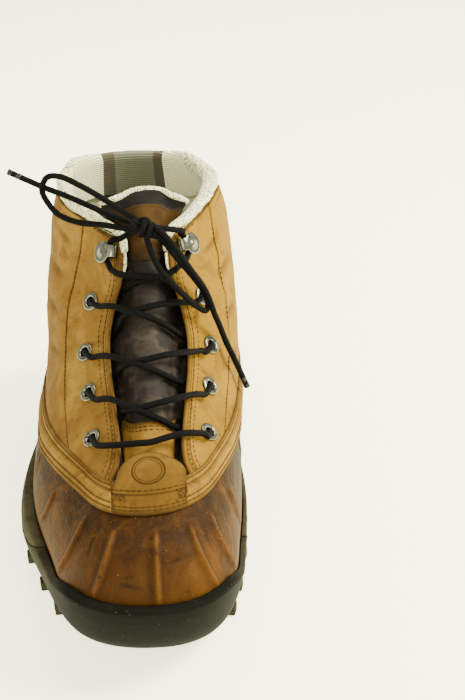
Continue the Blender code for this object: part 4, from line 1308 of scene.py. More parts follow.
@dataclass
class Studio:
    """The camera, the floor and the soft light round the boot."""

    camera_at: Point = (0.0332, -0.4914, 0.3875)
    heading: float = -2.736  # degrees from +Y, towards -X
    pitch: float = 58.91  # degrees from straight down
    roll: float = -1.22
    lens: float = 55.03  # millimetres, as is the sensor
    sensor: float = 36.0
    nearest: float = 0.01  # metres, as is the floor's side
    floor_side: float = 9.0
    sky: Colour = (1.0, 0.99, 0.82)
    sky_strength: float = 1.35
    lamps: tuple[Lamp, ...] = (
        Lamp("key", (1.1, 0.05, 1.05), (0.0, 0.0, 0.06), 0.6, 71.0, (1.0, 0.975, 0.80)),
        Lamp("top", (0.1, 0.5, 1.5), (0.0, 0.0, 0.06), 0.8, 20.0, (1.0, 0.985, 0.86)),
        Lamp("fill", (-1.2, -1.0, 1.0), (0.0, 0.0, 0.06), 1.4, 7.0, (1.0, 0.985, 0.86)),
        Lamp("front", (-0.2, -1.5, 1.1), (0.0, -0.05, 0.10), 0.8, 24.0, (1.0, 0.985, 0.88)),
    )

    def build(self) -> None:
        """Makes the camera, lights, world and floor."""
        self.make_camera()
        for lamp in self.lamps:
            self.make_lamp(lamp)
        world = bpy.data.worlds.new("studio")
        world.use_nodes = True
        sky = world.node_tree.nodes["Background"]
        sky.inputs["Color"].default_value = (*self.sky, 1.0)
        sky.inputs["Strength"].default_value = self.sky_strength
        bpy.context.scene.world = world
        self.make_floor()

    def make_camera(self) -> None:
        """Puts the camera at its place."""
        data = bpy.data.cameras.new("camera")
        data.sensor_fit = "VERTICAL"
        data.sensor_height = self.sensor
        data.sensor_width = self.sensor
        data.lens = self.lens
        data.clip_start = self.nearest
        camera = linked("camera", data)
        turn = Matrix()
        for angle, axis in ((self.heading, "Z"), (self.pitch, "X"), (self.roll, "Z")):
            turn = turn @ Matrix.Rotation(math.radians(angle), 4, axis)
        camera.matrix_world = Matrix.Translation(self.camera_at) @ turn
        bpy.context.scene.camera = camera

    def make_lamp(self, lamp: Lamp) -> None:
        """Hangs a soft light."""
        data = bpy.data.lights.new(lamp.name, "AREA")
        data.size = lamp.side
        data.energy = lamp.power
        data.color = lamp.colour
        obj = linked(lamp.name, data)
        obj.location = lamp.at
        obj.rotation_euler = (Vector(lamp.aim) - Vector(lamp.at)).to_track_quat("-Z", "Y").to_euler()

    def make_floor(self) -> None:
        """Lays the floor that the boot stands on."""
        half = self.floor_side / 2
        mesh = bpy.data.meshes.new("floor")
        corners = [(-half, -half, 0.0), (half, -half, 0.0), (half, half, 0.0), (-half, half, 0.0)]
        mesh.from_pydata(corners, [], [(0, 1, 2, 3)])
        mesh.materials.append(FloorFinish().make())
        linked("floor", mesh)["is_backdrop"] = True


# --- Tongue's form, which the lace lies on ---


class TongueRow(NamedTuple):
    """One row of the tongue: its level, half width, and how deep it lies at middle and edge."""

    level: float
    half_width: float
    crown: float
    edge: float


@dataclass(frozen=True)
class TongueForm:
    """The padded tongue's faces, on places of v and a.

    v runs up its middle: up to the last row it is a level, and one more is the top above the
    throat. a runs across it, from -1 at its lateral edge to 1.
    """

    last: Last
    rows: tuple[TongueRow, ...] = (
        TongueRow(3.9, 15, -3.6, -6.8),
        TongueRow(4.4, 18, -2.8, -7.1),
        TongueRow(5.0, 22, -2.4, -7.4),
        TongueRow(5.6, 26, -2.2, -7.6),
        TongueRow(6.2, 29, -2.0, -7.6),
        TongueRow(6.8, 29, -2.0, -7.6),
        TongueRow(7.4, 26, -2.0, -7.6),
        TongueRow(8.0, 24, -2.2, -7.8),
        TongueRow(8.6, 25, -2.8, -8.2),
    )
    fall: float = 0.75
    thick: float = 5.0
    edge_thick: float = 3.0
    top: float = 27.0
    dip: float = 0.30
    lean: Point = (0.06, 0.74, 0.67)
    fan: float = 5.5
    flatten: float = 0.97

    @property
    def root(self) -> float:
        """The level of the last row, from which the top rises."""
        return self.rows[-1].level

    def column(self, level: Array, label: str) -> Array:
        """A field of the rows at levels."""
        level = np.asarray(level, float)
        places = [row.level for row in self.rows]
        values = [getattr(row, label) for row in self.rows]
        return hermite(level.reshape(-1), places, values).reshape(level.shape)

    def offset(self, level: Array, x: Array) -> Array:
        """How far its face lies from the leather's."""
        crown, edge = self.column(level, "crown"), self.column(level, "edge")
        reach = np.minimum(1.0, np.abs(x) / (self.fall * self.column(level, "half_width")))
        return edge + (crown - edge) * (0.5 + 0.5 * np.cos(np.pi * reach))

    def face(self, v: Array, a: Array, sunk: Any = 0.0) -> Array:
        """Points of the tongue.

        Args:
            v: places up the tongue.
            a: places across it.
            sunk: how far below its outer face the points lie.

        Returns:
            Points, in the shape of the arguments with a last axis of 3.
        """
        v, a, sunk = np.broadcast_arrays(*(np.asarray(k, float) for k in (v, a, sunk)))
        level = np.minimum(v, self.root)
        x = a * self.column(level, "half_width")
        offset = self.offset(level, x)
        points = self.last.at(level, x, offset - sunk)
        share = np.clip(v - self.root, 0.0, 1.0)
        middle = self.last.at(level, 0 * x, self.offset(level, 0 * x) - sunk)
        flat = np.stack([points[..., 0] + self.fan * a * share, middle[..., 1], middle[..., 2]], -1)
        weight = (self.flatten * share)[..., None]
        lean = unit(np.array(self.lean))
        rise = (self.top * share * (1 - self.dip * a * a * share))[..., None]
        return points * (1 - weight) + flat * weight + lean * rise

    def thickness(self, a: Array) -> Array:
        """How thick it is across its width."""
        return self.thick + (self.edge_thick - self.thick) * np.asarray(a, float) ** 2


# --- Lace ---


EYELETS = (Spot(4.8, 29.0), Spot(5.65, 31.0), Spot(6.3, 33.0), Spot(7.2, 29.5))
HOOKS = {Side.LATERAL: Spot(8.15, 16.8), Side.MEDIAL: Spot(8.28, 19.2)}


class Crossing(NamedTuple):
    """Where two laces leave the facings' undersides, cross, and reach the facings, as levels."""

    lateral: float
    medial: float
    middle: float
    over: float
    at: float  # how far from the middle line they cross


@dataclass(frozen=True)
class FreeCord:
    """A free stretch of lace: its name, the points that it passes, and what it ends in."""

    name: str
    far_end: str
    route: tuple[Point, ...]
    into_knot: tuple[Point, ...]  # where its hidden starts lie in the knot


@dataclass
class LaceWork:
    """The whole lace: through eyelets and hooks, into the bow's knot, its loops and ends."""

    last: Last
    tongue: TongueForm
    diameter: float = 3.2
    clear: float = 0.8
    under: float = -4.85
    over: float = 2.9
    crossings: tuple[Crossing, ...] = (
        Crossing(5.58, 5.33, 5.63, 5.74, -8.4),
        Crossing(6.21, 6.02, 6.32, 6.42, -8.8),
        Crossing(6.9, 6.75, 7.07, 7.2, -8.6),
        Crossing(7.5, 7.5, 7.59, 7.66, 5.0),
    )
    crossing_keys: tuple[float, ...] = (0, 0.26, 0.55, 0.8, 1)
    start_in: float = 5.0
    eyelet_short: float = 5.4
    hook_short: float = 0.8
    hook_below: float = 0.36  # in levels
    hump: float = 2.8  # how far the upper lace of a crossing is lifted
    hump_half: float = 11.0
    bar: tuple[Point, ...] = (
        (-23.2, 4.8, 3.6), (-15.0, 4.96, 2.7), (-6.0, 5.04, 2.1), (0.0, 5.06, 2.0),
        (6.0, 5.11, 2.1), (15.0, 5.13, 2.7), (23.2, 4.97, 3.6)
    )  # the lowest lace: distance from the middle line, level and offset
    dive: tuple[Pair, ...] = (
        (3.0, 3.1), (1.1, 2.2), (0.15, 0.6), (0.0, -1.2), (0.5, -3.2), (2.4, -4.6)
    )  # into an eyelet: distance towards the throat, and offset from the leather
    hook_turn: tuple[Point, ...] = (
        (1.0, -4.0, 3.3), (1.9, -1.6, 3.35), (1.5, 1.2, 3.35), (-0.4, 4.0, 3.4), (-3.4, 6.2, 3.7)
    )  # round a hook, in its own frame, from below it to above it
    ties: tuple[tuple[Point, ...], ...] = (
        ((-12.2, 19.0, 150.2), (-7.2, 16.0, 153.9), (-1.2, 13.2, 157.8)),
        ((21.2, 20.6, 152.4), (14.4, 16.6, 155.6), (5.4, 13.0, 158.8)),
    )  # from above the lateral and the medial hook to the knot
    knot_at: Point = (2.2, 11.0, 158.6)
    knot_axis: Point = (0.87, -0.10, -0.48)
    knot_turns: Pair = (-0.35, 1.72)  # where its winding starts and ends
    knot_radius: float = 3.5
    knot_half: float = 7.6  # half the length of the strands that pass through it
    knot_strands: tuple[Point, ...] = (
        (-1.3, 1.2, 0.9), (1.4, -0.5, -1.1), (0.2, -1.6, 0.4)
    )  # the strands through it: two distances across it, and a bend
    knot_tuck: tuple[Point, ...] = (
        (4.3, 10.6, 162.4), (3.0, 10.8, 163.7), (0.8, 12.4, 163.2), (-0.8, 13.4, 160.6)
    )
    cords: tuple[FreeCord, ...] = (
        FreeCord(
            "lace_loop_lateral",
            "knot",
            (
                (-5.5, 17.5, 163.5), (-20.6, 25, 171.5), (-30.8, 30, 176.1), (-40.3, 34, 179.6),
                (-47.5, 36, 179.2), (-51.1, 36.5, 173.5), (-50.4, 35, 168.5), (-44, 30, 161),
                (-33.6, 25, 157.9), (-20, 20, 158), (-6.5, 14.5, 157.4)
            ),
            ((0.6, 13.2, 160.6), (1.2, 11.0, 157.4)),
        ),
        FreeCord(
            "lace_loop_medial",
            "knot",
            (
                (11, 8, 153), (16.9, 5.3, 145.3), (23.2, 5.4, 136.5), (28.9, 8.7, 125.9),
                (32.6, 6.5, 118.6), (31.5, 0.5, 115.5), (26.8, -4, 120.7), (20.4, -8, 129.6),
                (14.1, -8.3, 137.5), (8, -3, 143.9), (4.7, 4.5, 148.2)
            ),
            ((5.4, 10.2, 157.2), (2.4, 9.8, 154.8)),
        ),
        FreeCord(
            "lace_end_lateral",
            "fitting",
            (
                (-7, 20.5, 158.9), (-21, 26, 163.2), (-37.2, 34, 168.2), (-51.5, 43.5, 170.6),
                (-67.5, 46, 178)
            ),
            ((0.8, 15.0, 158.2),),
        ),
        FreeCord(
            "lace_end_medial",
            "fitting",
            (
                (11.5, 8.5, 156.4), (14.9, 5.0, 153.2), (18.8, 1.2, 149.0), (24.7, 0.9, 139.0),
                (30.4, 2.8, 128.6), (33.6, 1.2, 121.0), (35.8, -0.6, 114.0), (38.2, -0.2, 107.0),
                (41.4, -1.6, 97.3), (45.5, -5.2, 88.6), (51.5, -4.5, 72.0)
            ),
            ((5.0, 12.2, 161.0),),
        ),
    )
    spacing: float = 0.9
    declared: int = 60  # about how many points of a free cord's path
    tip_length: float = 7.0

    def build(self) -> None:
        """Makes the free cords, the knot and the laced run."""
        braid, tip = LaceFinish().make(), TipFinish().make()
        knot = self.make_knot(braid)
        for index, cord in enumerate(self.cords):
            self.make_cord(cord, braid, tip, [knot] if index == 0 else [])
        crossings = [f"lace_crossing_{n}" for n in range(1, len(self.crossings) + 1)]
        self.strung(self.run_path()).piece("lace_run", braid, "lace", "lace_bar", *crossings)

    def strung(self, path: Array) -> Shape:
        """Lace along a path."""
        return tube(path, self.diameter / 2)

    def make_cord(self, cord: FreeCord, braid: Material, tip: Material, extra: list[Object]) -> None:
        """Args:
            cord: the cord.
            braid: its material.
            tip: its sealed tip's material.
            extra: other pieces on it; not used.
        """
        route = [cord.into_knot[0], *cord.route, *cord.into_knot[1:]]
        path = spline(np.array(route), self.spacing)
        obj = self.strung(path).piece(cord.name.replace("lace", "cord"), braid, "lace", cord.name)
        pieces = list(extra)
        if cord.far_end == "fitting":
            pieces.append(self.make_tip(cord.name, path, tip))

    def make_tip(self, name: str, path: Array, tip: Material) -> Object:
        """The sealed sleeve over a cord's end: slightly narrower, and flared where it was cut."""
        ahead = unit(path[-1] - path[-4])
        shares = np.linspace(0, 1, 12)
        line = path[-1] + ahead * ((shares - 0.72) * self.tip_length)[:, None]
        swell = 1.06 - 0.10 * bump_at(shares - 0.55, 0.45) + 0.10 * smooth(shares, 0.85, 1)
        sleeve = tube(line, self.diameter / 2 * swell, ends=0.25)
        return sleeve.piece(name.replace("end", "tip"), tip, "lace")

    def make_knot(self, braid: Material) -> Object:
        """The bow's knot: lace wound round the bundle, with the strands that pass through it."""
        axis = unit(np.array(self.knot_axis))
        first = unit(np.cross(axis, (0.0, 1.0, 0.0)))
        second = np.cross(axis, first)
        centre = np.array(self.knot_at)
        angle = np.linspace(*self.knot_turns, 90)[:, None] * 2 * np.pi
        swell = self.knot_radius + 0.4 * np.cos(angle * 0.5)
        wrap = centre + axis * (angle / (2 * np.pi) - 0.7) * 3.5
        wrap = wrap + first * (np.cos(angle) * swell * 1.02) + second * (np.sin(angle) * swell * 0.9)
        strands = [respaced(wrap, self.spacing)]
        share = np.linspace(-1, 1, 24)[:, None]
        for shift, lift, bend in self.knot_strands:
            strand = centre + axis * share * self.knot_half + first * (shift + bend * share**2)
            strands.append(strand + second * (lift - share))
        strands.append(spline(np.array(self.knot_tuck), self.spacing))
        knot = joined(self.strung(strand) for strand in strands)
        return knot.piece("lace_knot_bow", braid, "lace", "lace_knot")

    def crossing(self, number: int, side: int) -> Array:
        """A lace from under one facing to over the other.

        Args:
            number: which pair of eyelets it leaves, from 0 at the toe.
            side: the side that it starts on. The medial one lies on top.

        Returns:
            Points of its centre line.
        """
        row = self.crossings[number]
        low = EYELETS[number]
        to_hook = number + 1 == len(EYELETS)
        high = HOOKS[Side(-side)] if to_hook else EYELETS[number + 1]
        reach = self.hook_short if to_hook else self.eyelet_short
        under = row.lateral if side < 0 else row.medial
        gap_low, gap_high = float(self.last.half_gap(under)), float(self.last.half_gap(row.over))
        end = (high.level, -(high.x - reach), self.over + 0.7)
        if to_hook:
            end = (high.level - self.hook_below, -(high.x - reach), self.over + 0.2)
        keys = (
            (low.level + (under - low.level) * 0.4, low.x - self.start_in, self.under),
            (under, gap_low - 0.5, self.under + 0.2),
            (row.middle, side * row.at, 0.0),
            (row.over, -gap_high + (2.5 if to_hook else 0.0), self.over),
            end,
        )
        at = np.linspace(0, 1, 17)
        level, x, offset = (hermite(at, self.crossing_keys, [key[i] for key in keys]) for i in range(3))
        lift = self.hump * bump_at(x - row.at, self.hump_half) if side > 0 else 0 * x
        floor = self.tongue.offset(level, x) + self.diameter / 2 + 0.15 + lift
        offset = np.where(np.abs(x) < gap_low - 1.5, np.maximum(offset, floor), offset)
        return self.last.at(level, side * x, offset)

    def eyelet_dive(self, number: int, side: int) -> Array:
        """The lace from the top of an eyelet, through it, to under the facing."""
        spot = EYELETS[number]
        return np.array([self.last.at(spot.level, side * (spot.x - d), o).reshape(3) for d, o in self.dive])

    def round_hook(self, side: Side) -> Array:
        """The lace from below a hook, through its mouth, to above it."""
        local = np.array(self.hook_turn) * (1.0, side.value, 1.0)
        return placed(local, self.last.frame_at(HOOKS[side], side))

    def strand(self, start: Side) -> Array:
        """The lace from the top of the lowest eyelet on a side up to the knot."""
        side = start.value
        points = []
        for number in range(len(EYELETS)):
            points += [self.eyelet_dive(number, side), self.crossing(number, side)]
            side = -side
        end = Side(side)
        points.append(self.round_hook(end))
        points.append(np.array(self.ties[0 if end is Side.LATERAL else 1]))
        return np.concatenate(points)

    def run_path(self) -> Array:
        """The whole laced run, from the knot down, over the bar and back up to the knot."""
        x, level, offset = np.array(self.bar).T
        bar = self.last.at(level, x, offset)
        down = self.strand(Side.LATERAL)[::-1]
        up = self.strand(Side.MEDIAL)
        return spline(np.concatenate([down, bar, up]), self.spacing)


# --- Leather ---


class Place(NamedTuple):
    """A place on the last, with a signed turn: from 0 at the front to 0.5 laterally, -0.5 medially."""

    level: float
    turn: float


class Rib(NamedTuple):
    """A raised fold of the vamp, from below the band down to the rubber."""

    top: Place
    foot: Place
    high: float
    half_width: float


class Crease(NamedTuple):
    """A soft trough: its middle, half length, half width and depth, and its slant in degrees."""

    level: float
    turn: float
    half_length: float
    half_width: float
    depth: float
    slant: float


def nearest(points: Array, path: Array) -> tuple[Array, Array]:
    """Distances from points to a dense path, below 0 towards -X, and shares of the way along it."""
    tree = kdtree.KDTree(len(path))
    for index, p in enumerate(path):
        tree.insert(Vector(p), index)
    tree.balance()
    found = [tree.find(Vector(p)) for p in points.reshape(-1, 3)]
    index = np.array([f[1] for f in found])
    beside = np.sign(points.reshape(-1, 3)[:, 0] - path[index, 0])
    far = np.array([f[2] for f in found]) * beside
    return far.reshape(points.shape[:-1]), index.reshape(points.shape[:-1]) / (len(path) - 1)


def creased(points: Array, level: Array, turn: Array, creases: Sequence[Crease]) -> tuple[Array, Array]:
    """Soft creases on a grid of the leather.

    Args:
        points: the grid's points.
        level: their levels.
        turn: their signed turns.
        creases: the creases.

    Returns:
        How deep each point is pressed in, and how far it lies in a crease, from 0 to 1.
    """
    depth, mark = np.zeros(level.shape), np.zeros(level.shape)
    for crease in creases:
        flat = np.abs(level - crease.level) + 40 * np.abs(turn - crease.turn)
        r, c = np.unravel_index(flat.argmin(), flat.shape)
        middle = points[r, c]
        ahead_c = min(c + 2, level.shape[1] - 1)
        ahead_r = min(r + 2, level.shape[0] - 1)
        along = unit(points[r, ahead_c] - points[r, ahead_c - 2])
        up = points[ahead_r, c] - points[ahead_r - 2, c]
        up = unit(up - along * np.dot(up, along))
        angle = math.radians(crease.slant)
        main = along * math.cos(angle) + up * math.sin(angle)
        cross = up * math.cos(angle) - along * math.sin(angle)
        away = points - middle
        s, t = away @ main, away @ cross
        off = np.linalg.norm(away - s[..., None] * main - t[..., None] * cross, axis=-1)
        t = t - 0.1 * crease.half_length * (s / crease.half_length) ** 2
        near = bump_at(s, crease.half_length) * (off < crease.half_length + 12)
        trough = near * bump_at(t, crease.half_width)
        lip = near * (bump_at(t - 1.5 * crease.half_width, crease.half_width) * 0.45)
        depth += crease.depth * (trough - lip)
        mark = np.maximum(mark, near * bump_at(t, crease.half_width * 0.8))
    return depth, mark


def band_level(turn: Array) -> Array:
    """The level of the band's lower edge."""
    angle = 2 * np.pi * turn
    return 2.9 + 0.1 * np.cos(angle) - 0.2 * np.sin(angle)


def seam_row(level: Any, turn: Array, offset: Any) -> Array:
    """Places along a row of stitches, as levels, turns and offsets."""
    return np.stack(np.broadcast_arrays(level, turn, offset), -1)


@dataclass
class Vamp:
    """The ribbed leather from the rubber up to the band, all round the foot."""

    last: Last
    thick: float = 1.4
    under_band: float = 0.42  # how far it runs up under the band, in levels
    ribs: tuple[Rib, ...] = (
        Rib(Place(2.66, -0.003), Place(0.86, -0.003), 1.5, 3.4),
        Rib(Place(2.62, 0.041), Place(0.95, 0.053), 1.5, 3.4),
        Rib(Place(2.60, 0.089), Place(0.80, 0.116), 1.4, 3.4),
        Rib(Place(2.38, 0.150), Place(0.90, 0.170), 1.1, 3.4),
        Rib(Place(2.64, -0.044), Place(0.92, -0.068), 1.5, 3.4),
        Rib(Place(2.62, -0.079), Place(0.85, -0.108), 1.3, 3.4),
        Rib(Place(2.52, -0.132), Place(0.90, -0.162), 1.0, 3.4),
    )
    steep: float = 0.62  # how much narrower a rib's medial side is than its lateral one
    even: float = 0.4  # the share of a rib's run sideways that is even from top to foot
    flank: Pair = (3.6, 2.4)  # where the painted shade beside a rib lies, and half its width
    creases: tuple[Crease, ...] = (
        Crease(2.0, 0.205, 17, 3.2, 1.0, 62),
        Crease(1.7, 0.232, 15, 3.0, 0.9, 70),
        Crease(2.0, -0.198, 16, 3.0, 1.0, 112),
        Crease(1.6, -0.225, 14, 3.0, 0.8, 104),
        Crease(2.1, 0.070, 10, 2.2, 0.5, 80),
        Crease(2.2, -0.066, 10, 2.2, 0.5, 100),
        Crease(1.4, 0.020, 9, 2.0, 0.35, 12),
        Crease(1.9, -0.022, 9, 2.0, 0.35, -8),
    )
    rows: int = 92
    rise: float = 1.05  # above 1, its rows lie closer at the foot
    rib_points: int = 90
    front_columns: int = 320
    back_columns: int = 120
    front_turn: float = 0.21

    def turns(self) -> Array:
        """Signed turns round the foot, close together at the toe."""
        half = np.linspace(0, self.front_turn, self.front_columns // 2, endpoint=False)
        rest = np.linspace(self.front_turn, 0.5, self.back_columns // 2 + 1)
        lateral = np.concatenate([half, rest])
        return np.concatenate([lateral, -lateral[-2:0:-1]])

    def build(self, finish: Material) -> Object:
        """Makes the vamp."""
        turn = np.broadcast_to(self.turns(), (self.rows, len(self.turns())))
        share = np.linspace(0, 1, self.rows)[:, None] ** self.rise
        top = band_level(turn) + self.under_band
        level = LOWEST + (top - LOWEST) * share
        plain = self.last.surface(level, turn)
        height, mark, dark = (np.zeros(level.shape) for _ in range(3))
        front = np.abs(turn) < self.front_turn
        steps = np.linspace(0, 1, self.rib_points)
        aside = self.even * steps + (1 - self.even) * steps**1.5
        for rib in self.ribs:
            line = self.last.surface(
                rib.top.level + (rib.foot.level - rib.top.level) * steps,
                rib.top.turn + (rib.foot.turn - rib.top.turn) * aside,
            )
            far, along = nearest(plain[front].reshape(-1, 3), line)
            swell = smooth(along, 0.0, 0.14) * smooth(along, 1.0, 0.80)
            far = np.where(far > 0, far / self.steep, far)
            crest = bump_at(far, rib.half_width) ** 0.9
            trough = bump_at(np.abs(far) - 1.6 * rib.half_width, rib.half_width) * 0.3
            height[front] = np.maximum(height[front], rib.high * swell * crest) - trough * swell
            mark[front] = np.maximum(mark[front], swell * bump_at(far, rib.half_width * 0.6))
            flank = swell * bump_at(np.abs(far) - self.flank[0], self.flank[1])
            dark[front] = np.maximum(dark[front], flank)
        depth, crease = creased(plain, level, turn, self.creases)
        lumps = 0.28 * mottling(plain, 17.0) + 0.10 * mottling(plain, 5.0)
        fade = smooth(level, 0.5, 1.2) * smooth(top - level, 0.2, 0.9)
        values = {
            # rib: where the finish paints a highlight on the ribs' crests
            "rib": mark,
            "high": smooth(level, 0.7, 2.9),
            # crease: painted shade, in the creases and beside the ribs
            "crease": np.clip(crease + 0.45 * dark, 0, 1),
            "edge": (top - level) * LEVEL_SPAN,
        }
        offsets = (height + (lumps - depth) * fade, -self.thick)
        shape = sheet_on(self.last, level, turn, offsets, True, 0.2, values)
        return shape.piece("vamp", finish, "nubuck", "upper")


@dataclass
class Quarters:
    """The tan leather from the band up to the collar, open at the throat."""

    last: Last
    thick: float = 1.5
    bottom: float = 0.38  # how far over the band's lower edge it starts, in levels
    rows: int = 128
    columns: int = 236
    crowd: float = 0.55  # how much closer the columns lie at the facings
    stitch_half: float = 1.2  # half the width of a stitch row's trough
    stitch_deep: float = 0.28
    panel_high: float = 0.35  # how far the panel stands out behind its seam
    lateral_seam: tuple[Pair, ...] = (
        (4.2, 0.156), (5.0, 0.172), (6.05, 0.177), (6.85, 0.176), (7.45, 0.167), (8.0, 0.160),
        (9.0, 0.158)
    )  # levels and turns, counted from the front on either side
    medial_seam: tuple[Pair, ...] = (
        (4.2, 0.150), (5.0, 0.172), (5.6, 0.192), (6.35, 0.202), (7.25, 0.192), (8.2, 0.188),
        (9.0, 0.192)
    )
    creases: tuple[Crease, ...] = (
        Crease(7.3, 0.215, 24, 6.0, 1.5, -8),
        Crease(6.4, 0.235, 26, 6.5, 1.6, -14),
        Crease(5.6, 0.215, 20, 5.0, 1.0, -20),
        Crease(8.1, 0.200, 16, 4.0, 0.7, 6),
        Crease(7.2, -0.215, 24, 6.0, 1.4, 8),
        Crease(6.2, -0.225, 24, 6.0, 1.5, 16),
        Crease(5.3, -0.205, 18, 4.5, 0.9, 22),
        Crease(7.9, -0.175, 15, 3.6, 0.7, -10),
        Crease(6.55, 0.125, 12, 3.0, 0.5, -35),
        Crease(5.9, -0.130, 14, 3.0, 0.6, 62),
        Crease(6.6, 0.36, 22, 7.0, 1.2, 4),
        Crease(6.6, -0.36, 22, 7.0, 1.2, -4),
        Crease(5.6, 0.42, 18, 6.0, 0.8, 0),
    )

    def grid(self) -> tuple[Array, Array]:
        """Levels and signed turns of the leather, a row for each level."""
        s = np.linspace(0, 1, self.columns)
        spread = s - self.crowd * np.sin(2 * np.pi * s) / (2 * np.pi)
        share = np.linspace(0, 1, self.rows)
        near = NEAR_BAND + self.bottom
        lateral, medial = self.last.facing_turns(near + (COLLAR - near) * share)
        turn = lateral[:, None] + (medial - lateral)[:, None] * spread
        low = band_level(turn) + self.bottom
        level = low + (COLLAR - low) * share[:, None]
        lateral = self.last.facing_turns(level[:, 0])[0]
        medial = self.last.facing_turns(level[:, -1])[1]
        return level, lateral[:, None] + (medial - lateral)[:, None] * spread

    def seam_turn(self, side: Side, level: Any) -> Array:
        """The turns at which the panel's seam on a side crosses levels."""
        if side is Side.LATERAL:
            return hermite(level, *zip(*self.lateral_seam))
        return 1 - hermite(level, *zip(*self.medial_seam))

    def seam_place(self, along: Array, level: Array, turn: Array) -> Array:
        """The signed distance of each point from the panel's seam on its side."""
        result = np.zeros(level.shape)
        middle = self.columns // 2
        halves = (
            (Side.LATERAL, slice(None, middle), middle // 2),
            (Side.MEDIAL, slice(middle, None), middle + middle // 2),
        )
        for r in range(self.rows):
            for side, part, near in halves:
                seam = float(self.seam_turn(side, level[r, near])[0])
                result[r, part] = side.value * (np.interp(seam, turn[r], along[r]) - along[r, part])
        return result

    def build(self, finish: Material, holes: Mesh) -> Object:
        """Makes the quarters, with the eyelets' holes."""
        level, turn = self.grid()
        signed = np.where(turn > 0.5, turn - 1, turn)
        plain = self.last.surface(level, turn)
        along = distances(plain.swapaxes(0, 1)).T
        edge = np.minimum(along, along[:, -1:] - along)
        rim = distances(plain[::-1])[::-1]
        panel = self.seam_place(along, level, turn)
        depth, crease = creased(plain, level, signed, self.creases)
        lumps = 0.45 * mottling(plain, 26.0) + 0.12 * mottling(plain, 7.0)
        fade = smooth(edge, 4, 16) * smooth(rim, 2, 12) * smooth(level - band_level(turn), 1.0, 1.7)
        height = (lumps - depth) * fade
        troughs = sum(bump_at(edge - row, self.stitch_half) for row in FACING_ROWS)
        height = height - self.stitch_deep * troughs - 0.3 * smooth(edge, 1.0, 0.0)
        raised = smooth(panel, 0.2, 1.4) * smooth(panel, 16, 5)
        height = height + self.panel_high * raised * smooth(level, 4.2, 4.8)
        # crease: where the finish paints shade, in the creases' troughs
        values = {"edge": edge, "panel": panel, "rim": rim, "crease": np.clip(crease * fade, 0, 1)}
        shape = sheet_on(self.last, level, turn, (height, -self.thick), False, 0.45, values)
        mesh = combined(shape.mesh("quarters"), [("DIFFERENCE", holes)])
        return piece("quarters", mesh, finish, "nubuck", "upper")

    def seams(self) -> list[Array]:
        """Places of the stitch rows, as levels, turns and offsets."""
        rows = []
        for side in SIDES:
            level = np.linspace(4.15, 8.75, 60)
            for inset in FACING_ROWS:
                x = side.value * (self.last.half_gap(level) + inset)
                rows.append(seam_row(level, self.last.turn_at(level, x), 0.0))
        for side in SIDES:
            level = np.linspace(4.0, 8.85, 60)
            rows.append(seam_row(level, self.seam_turn(side, level), 0.02))
        rows.append(seam_row(8.79, np.linspace(0.19, 0.81, 160), 0.0))
        return rows


@dataclass
class Lining:
    """The cloth inside the upper."""

    last: Last
    near: float = -1.62  # the offsets of its two faces
    far: float = -2.4
    swell: float = 4.0  # how much thicker the padding makes it under the collar
    join: float = 4.05  # the level from which it is open at the throat
    sock: tuple[int, int] = (44, 160)  # rows and columns below the join
    shaft: tuple[int, int] = (84, 170)  # and above it

    def build(self, finish: Material, holes: Mesh) -> Object:
        """Makes the lining: a sock round the foot, and the shaft above it."""
        level = np.linspace(LOWEST, self.join, self.sock[0])
        turns = np.linspace(0, 1, self.sock[1], endpoint=False)
        low = self.shape(level, np.broadcast_to(turns, self.sock), True)
        level = np.linspace(self.join, COLLAR - 0.02, self.shaft[0])
        lateral, medial = self.last.facing_turns(level)
        peek = 0.008 * smooth(level, 7.65, 7.85) - 0.006 * smooth(level, 7.8, 7.5)
        spread = np.linspace(0, 1, self.shaft[1])
        turns = (lateral - peek)[:, None] + (medial - lateral + 2 * peek)[:, None] * spread
        high = self.shape(level, turns, False)
        mesh = combined(low.plus(high).mesh("lining"), [("DIFFERENCE", holes)])
        return piece("lining", mesh, finish, "knit", "upper")

    def shape(self, levels: Array, turn: Array, closed: bool) -> Shape:
        """A closed sheet of the lining, a row for each level."""
        level = np.broadcast_to(levels[:, None], turn.shape)
        rim = (COLLAR - level) * LEVEL_SPAN
        start, end = turn[:, :1], turn[:, -1:]
        knit = 0 * turn if closed else smooth(np.minimum(turn - start, end - turn), 0.035, 0.025)
        swell = self.swell * smooth(rim, 22, 6) * smooth(np.abs(turn - BACK_TURN), 0.26, 0.16)
        values = {"turn": turn, "rim": rim, "knit": knit}
        return sheet_on(self.last, level, turn, (self.near, self.far - swell), closed, 0.1, values)


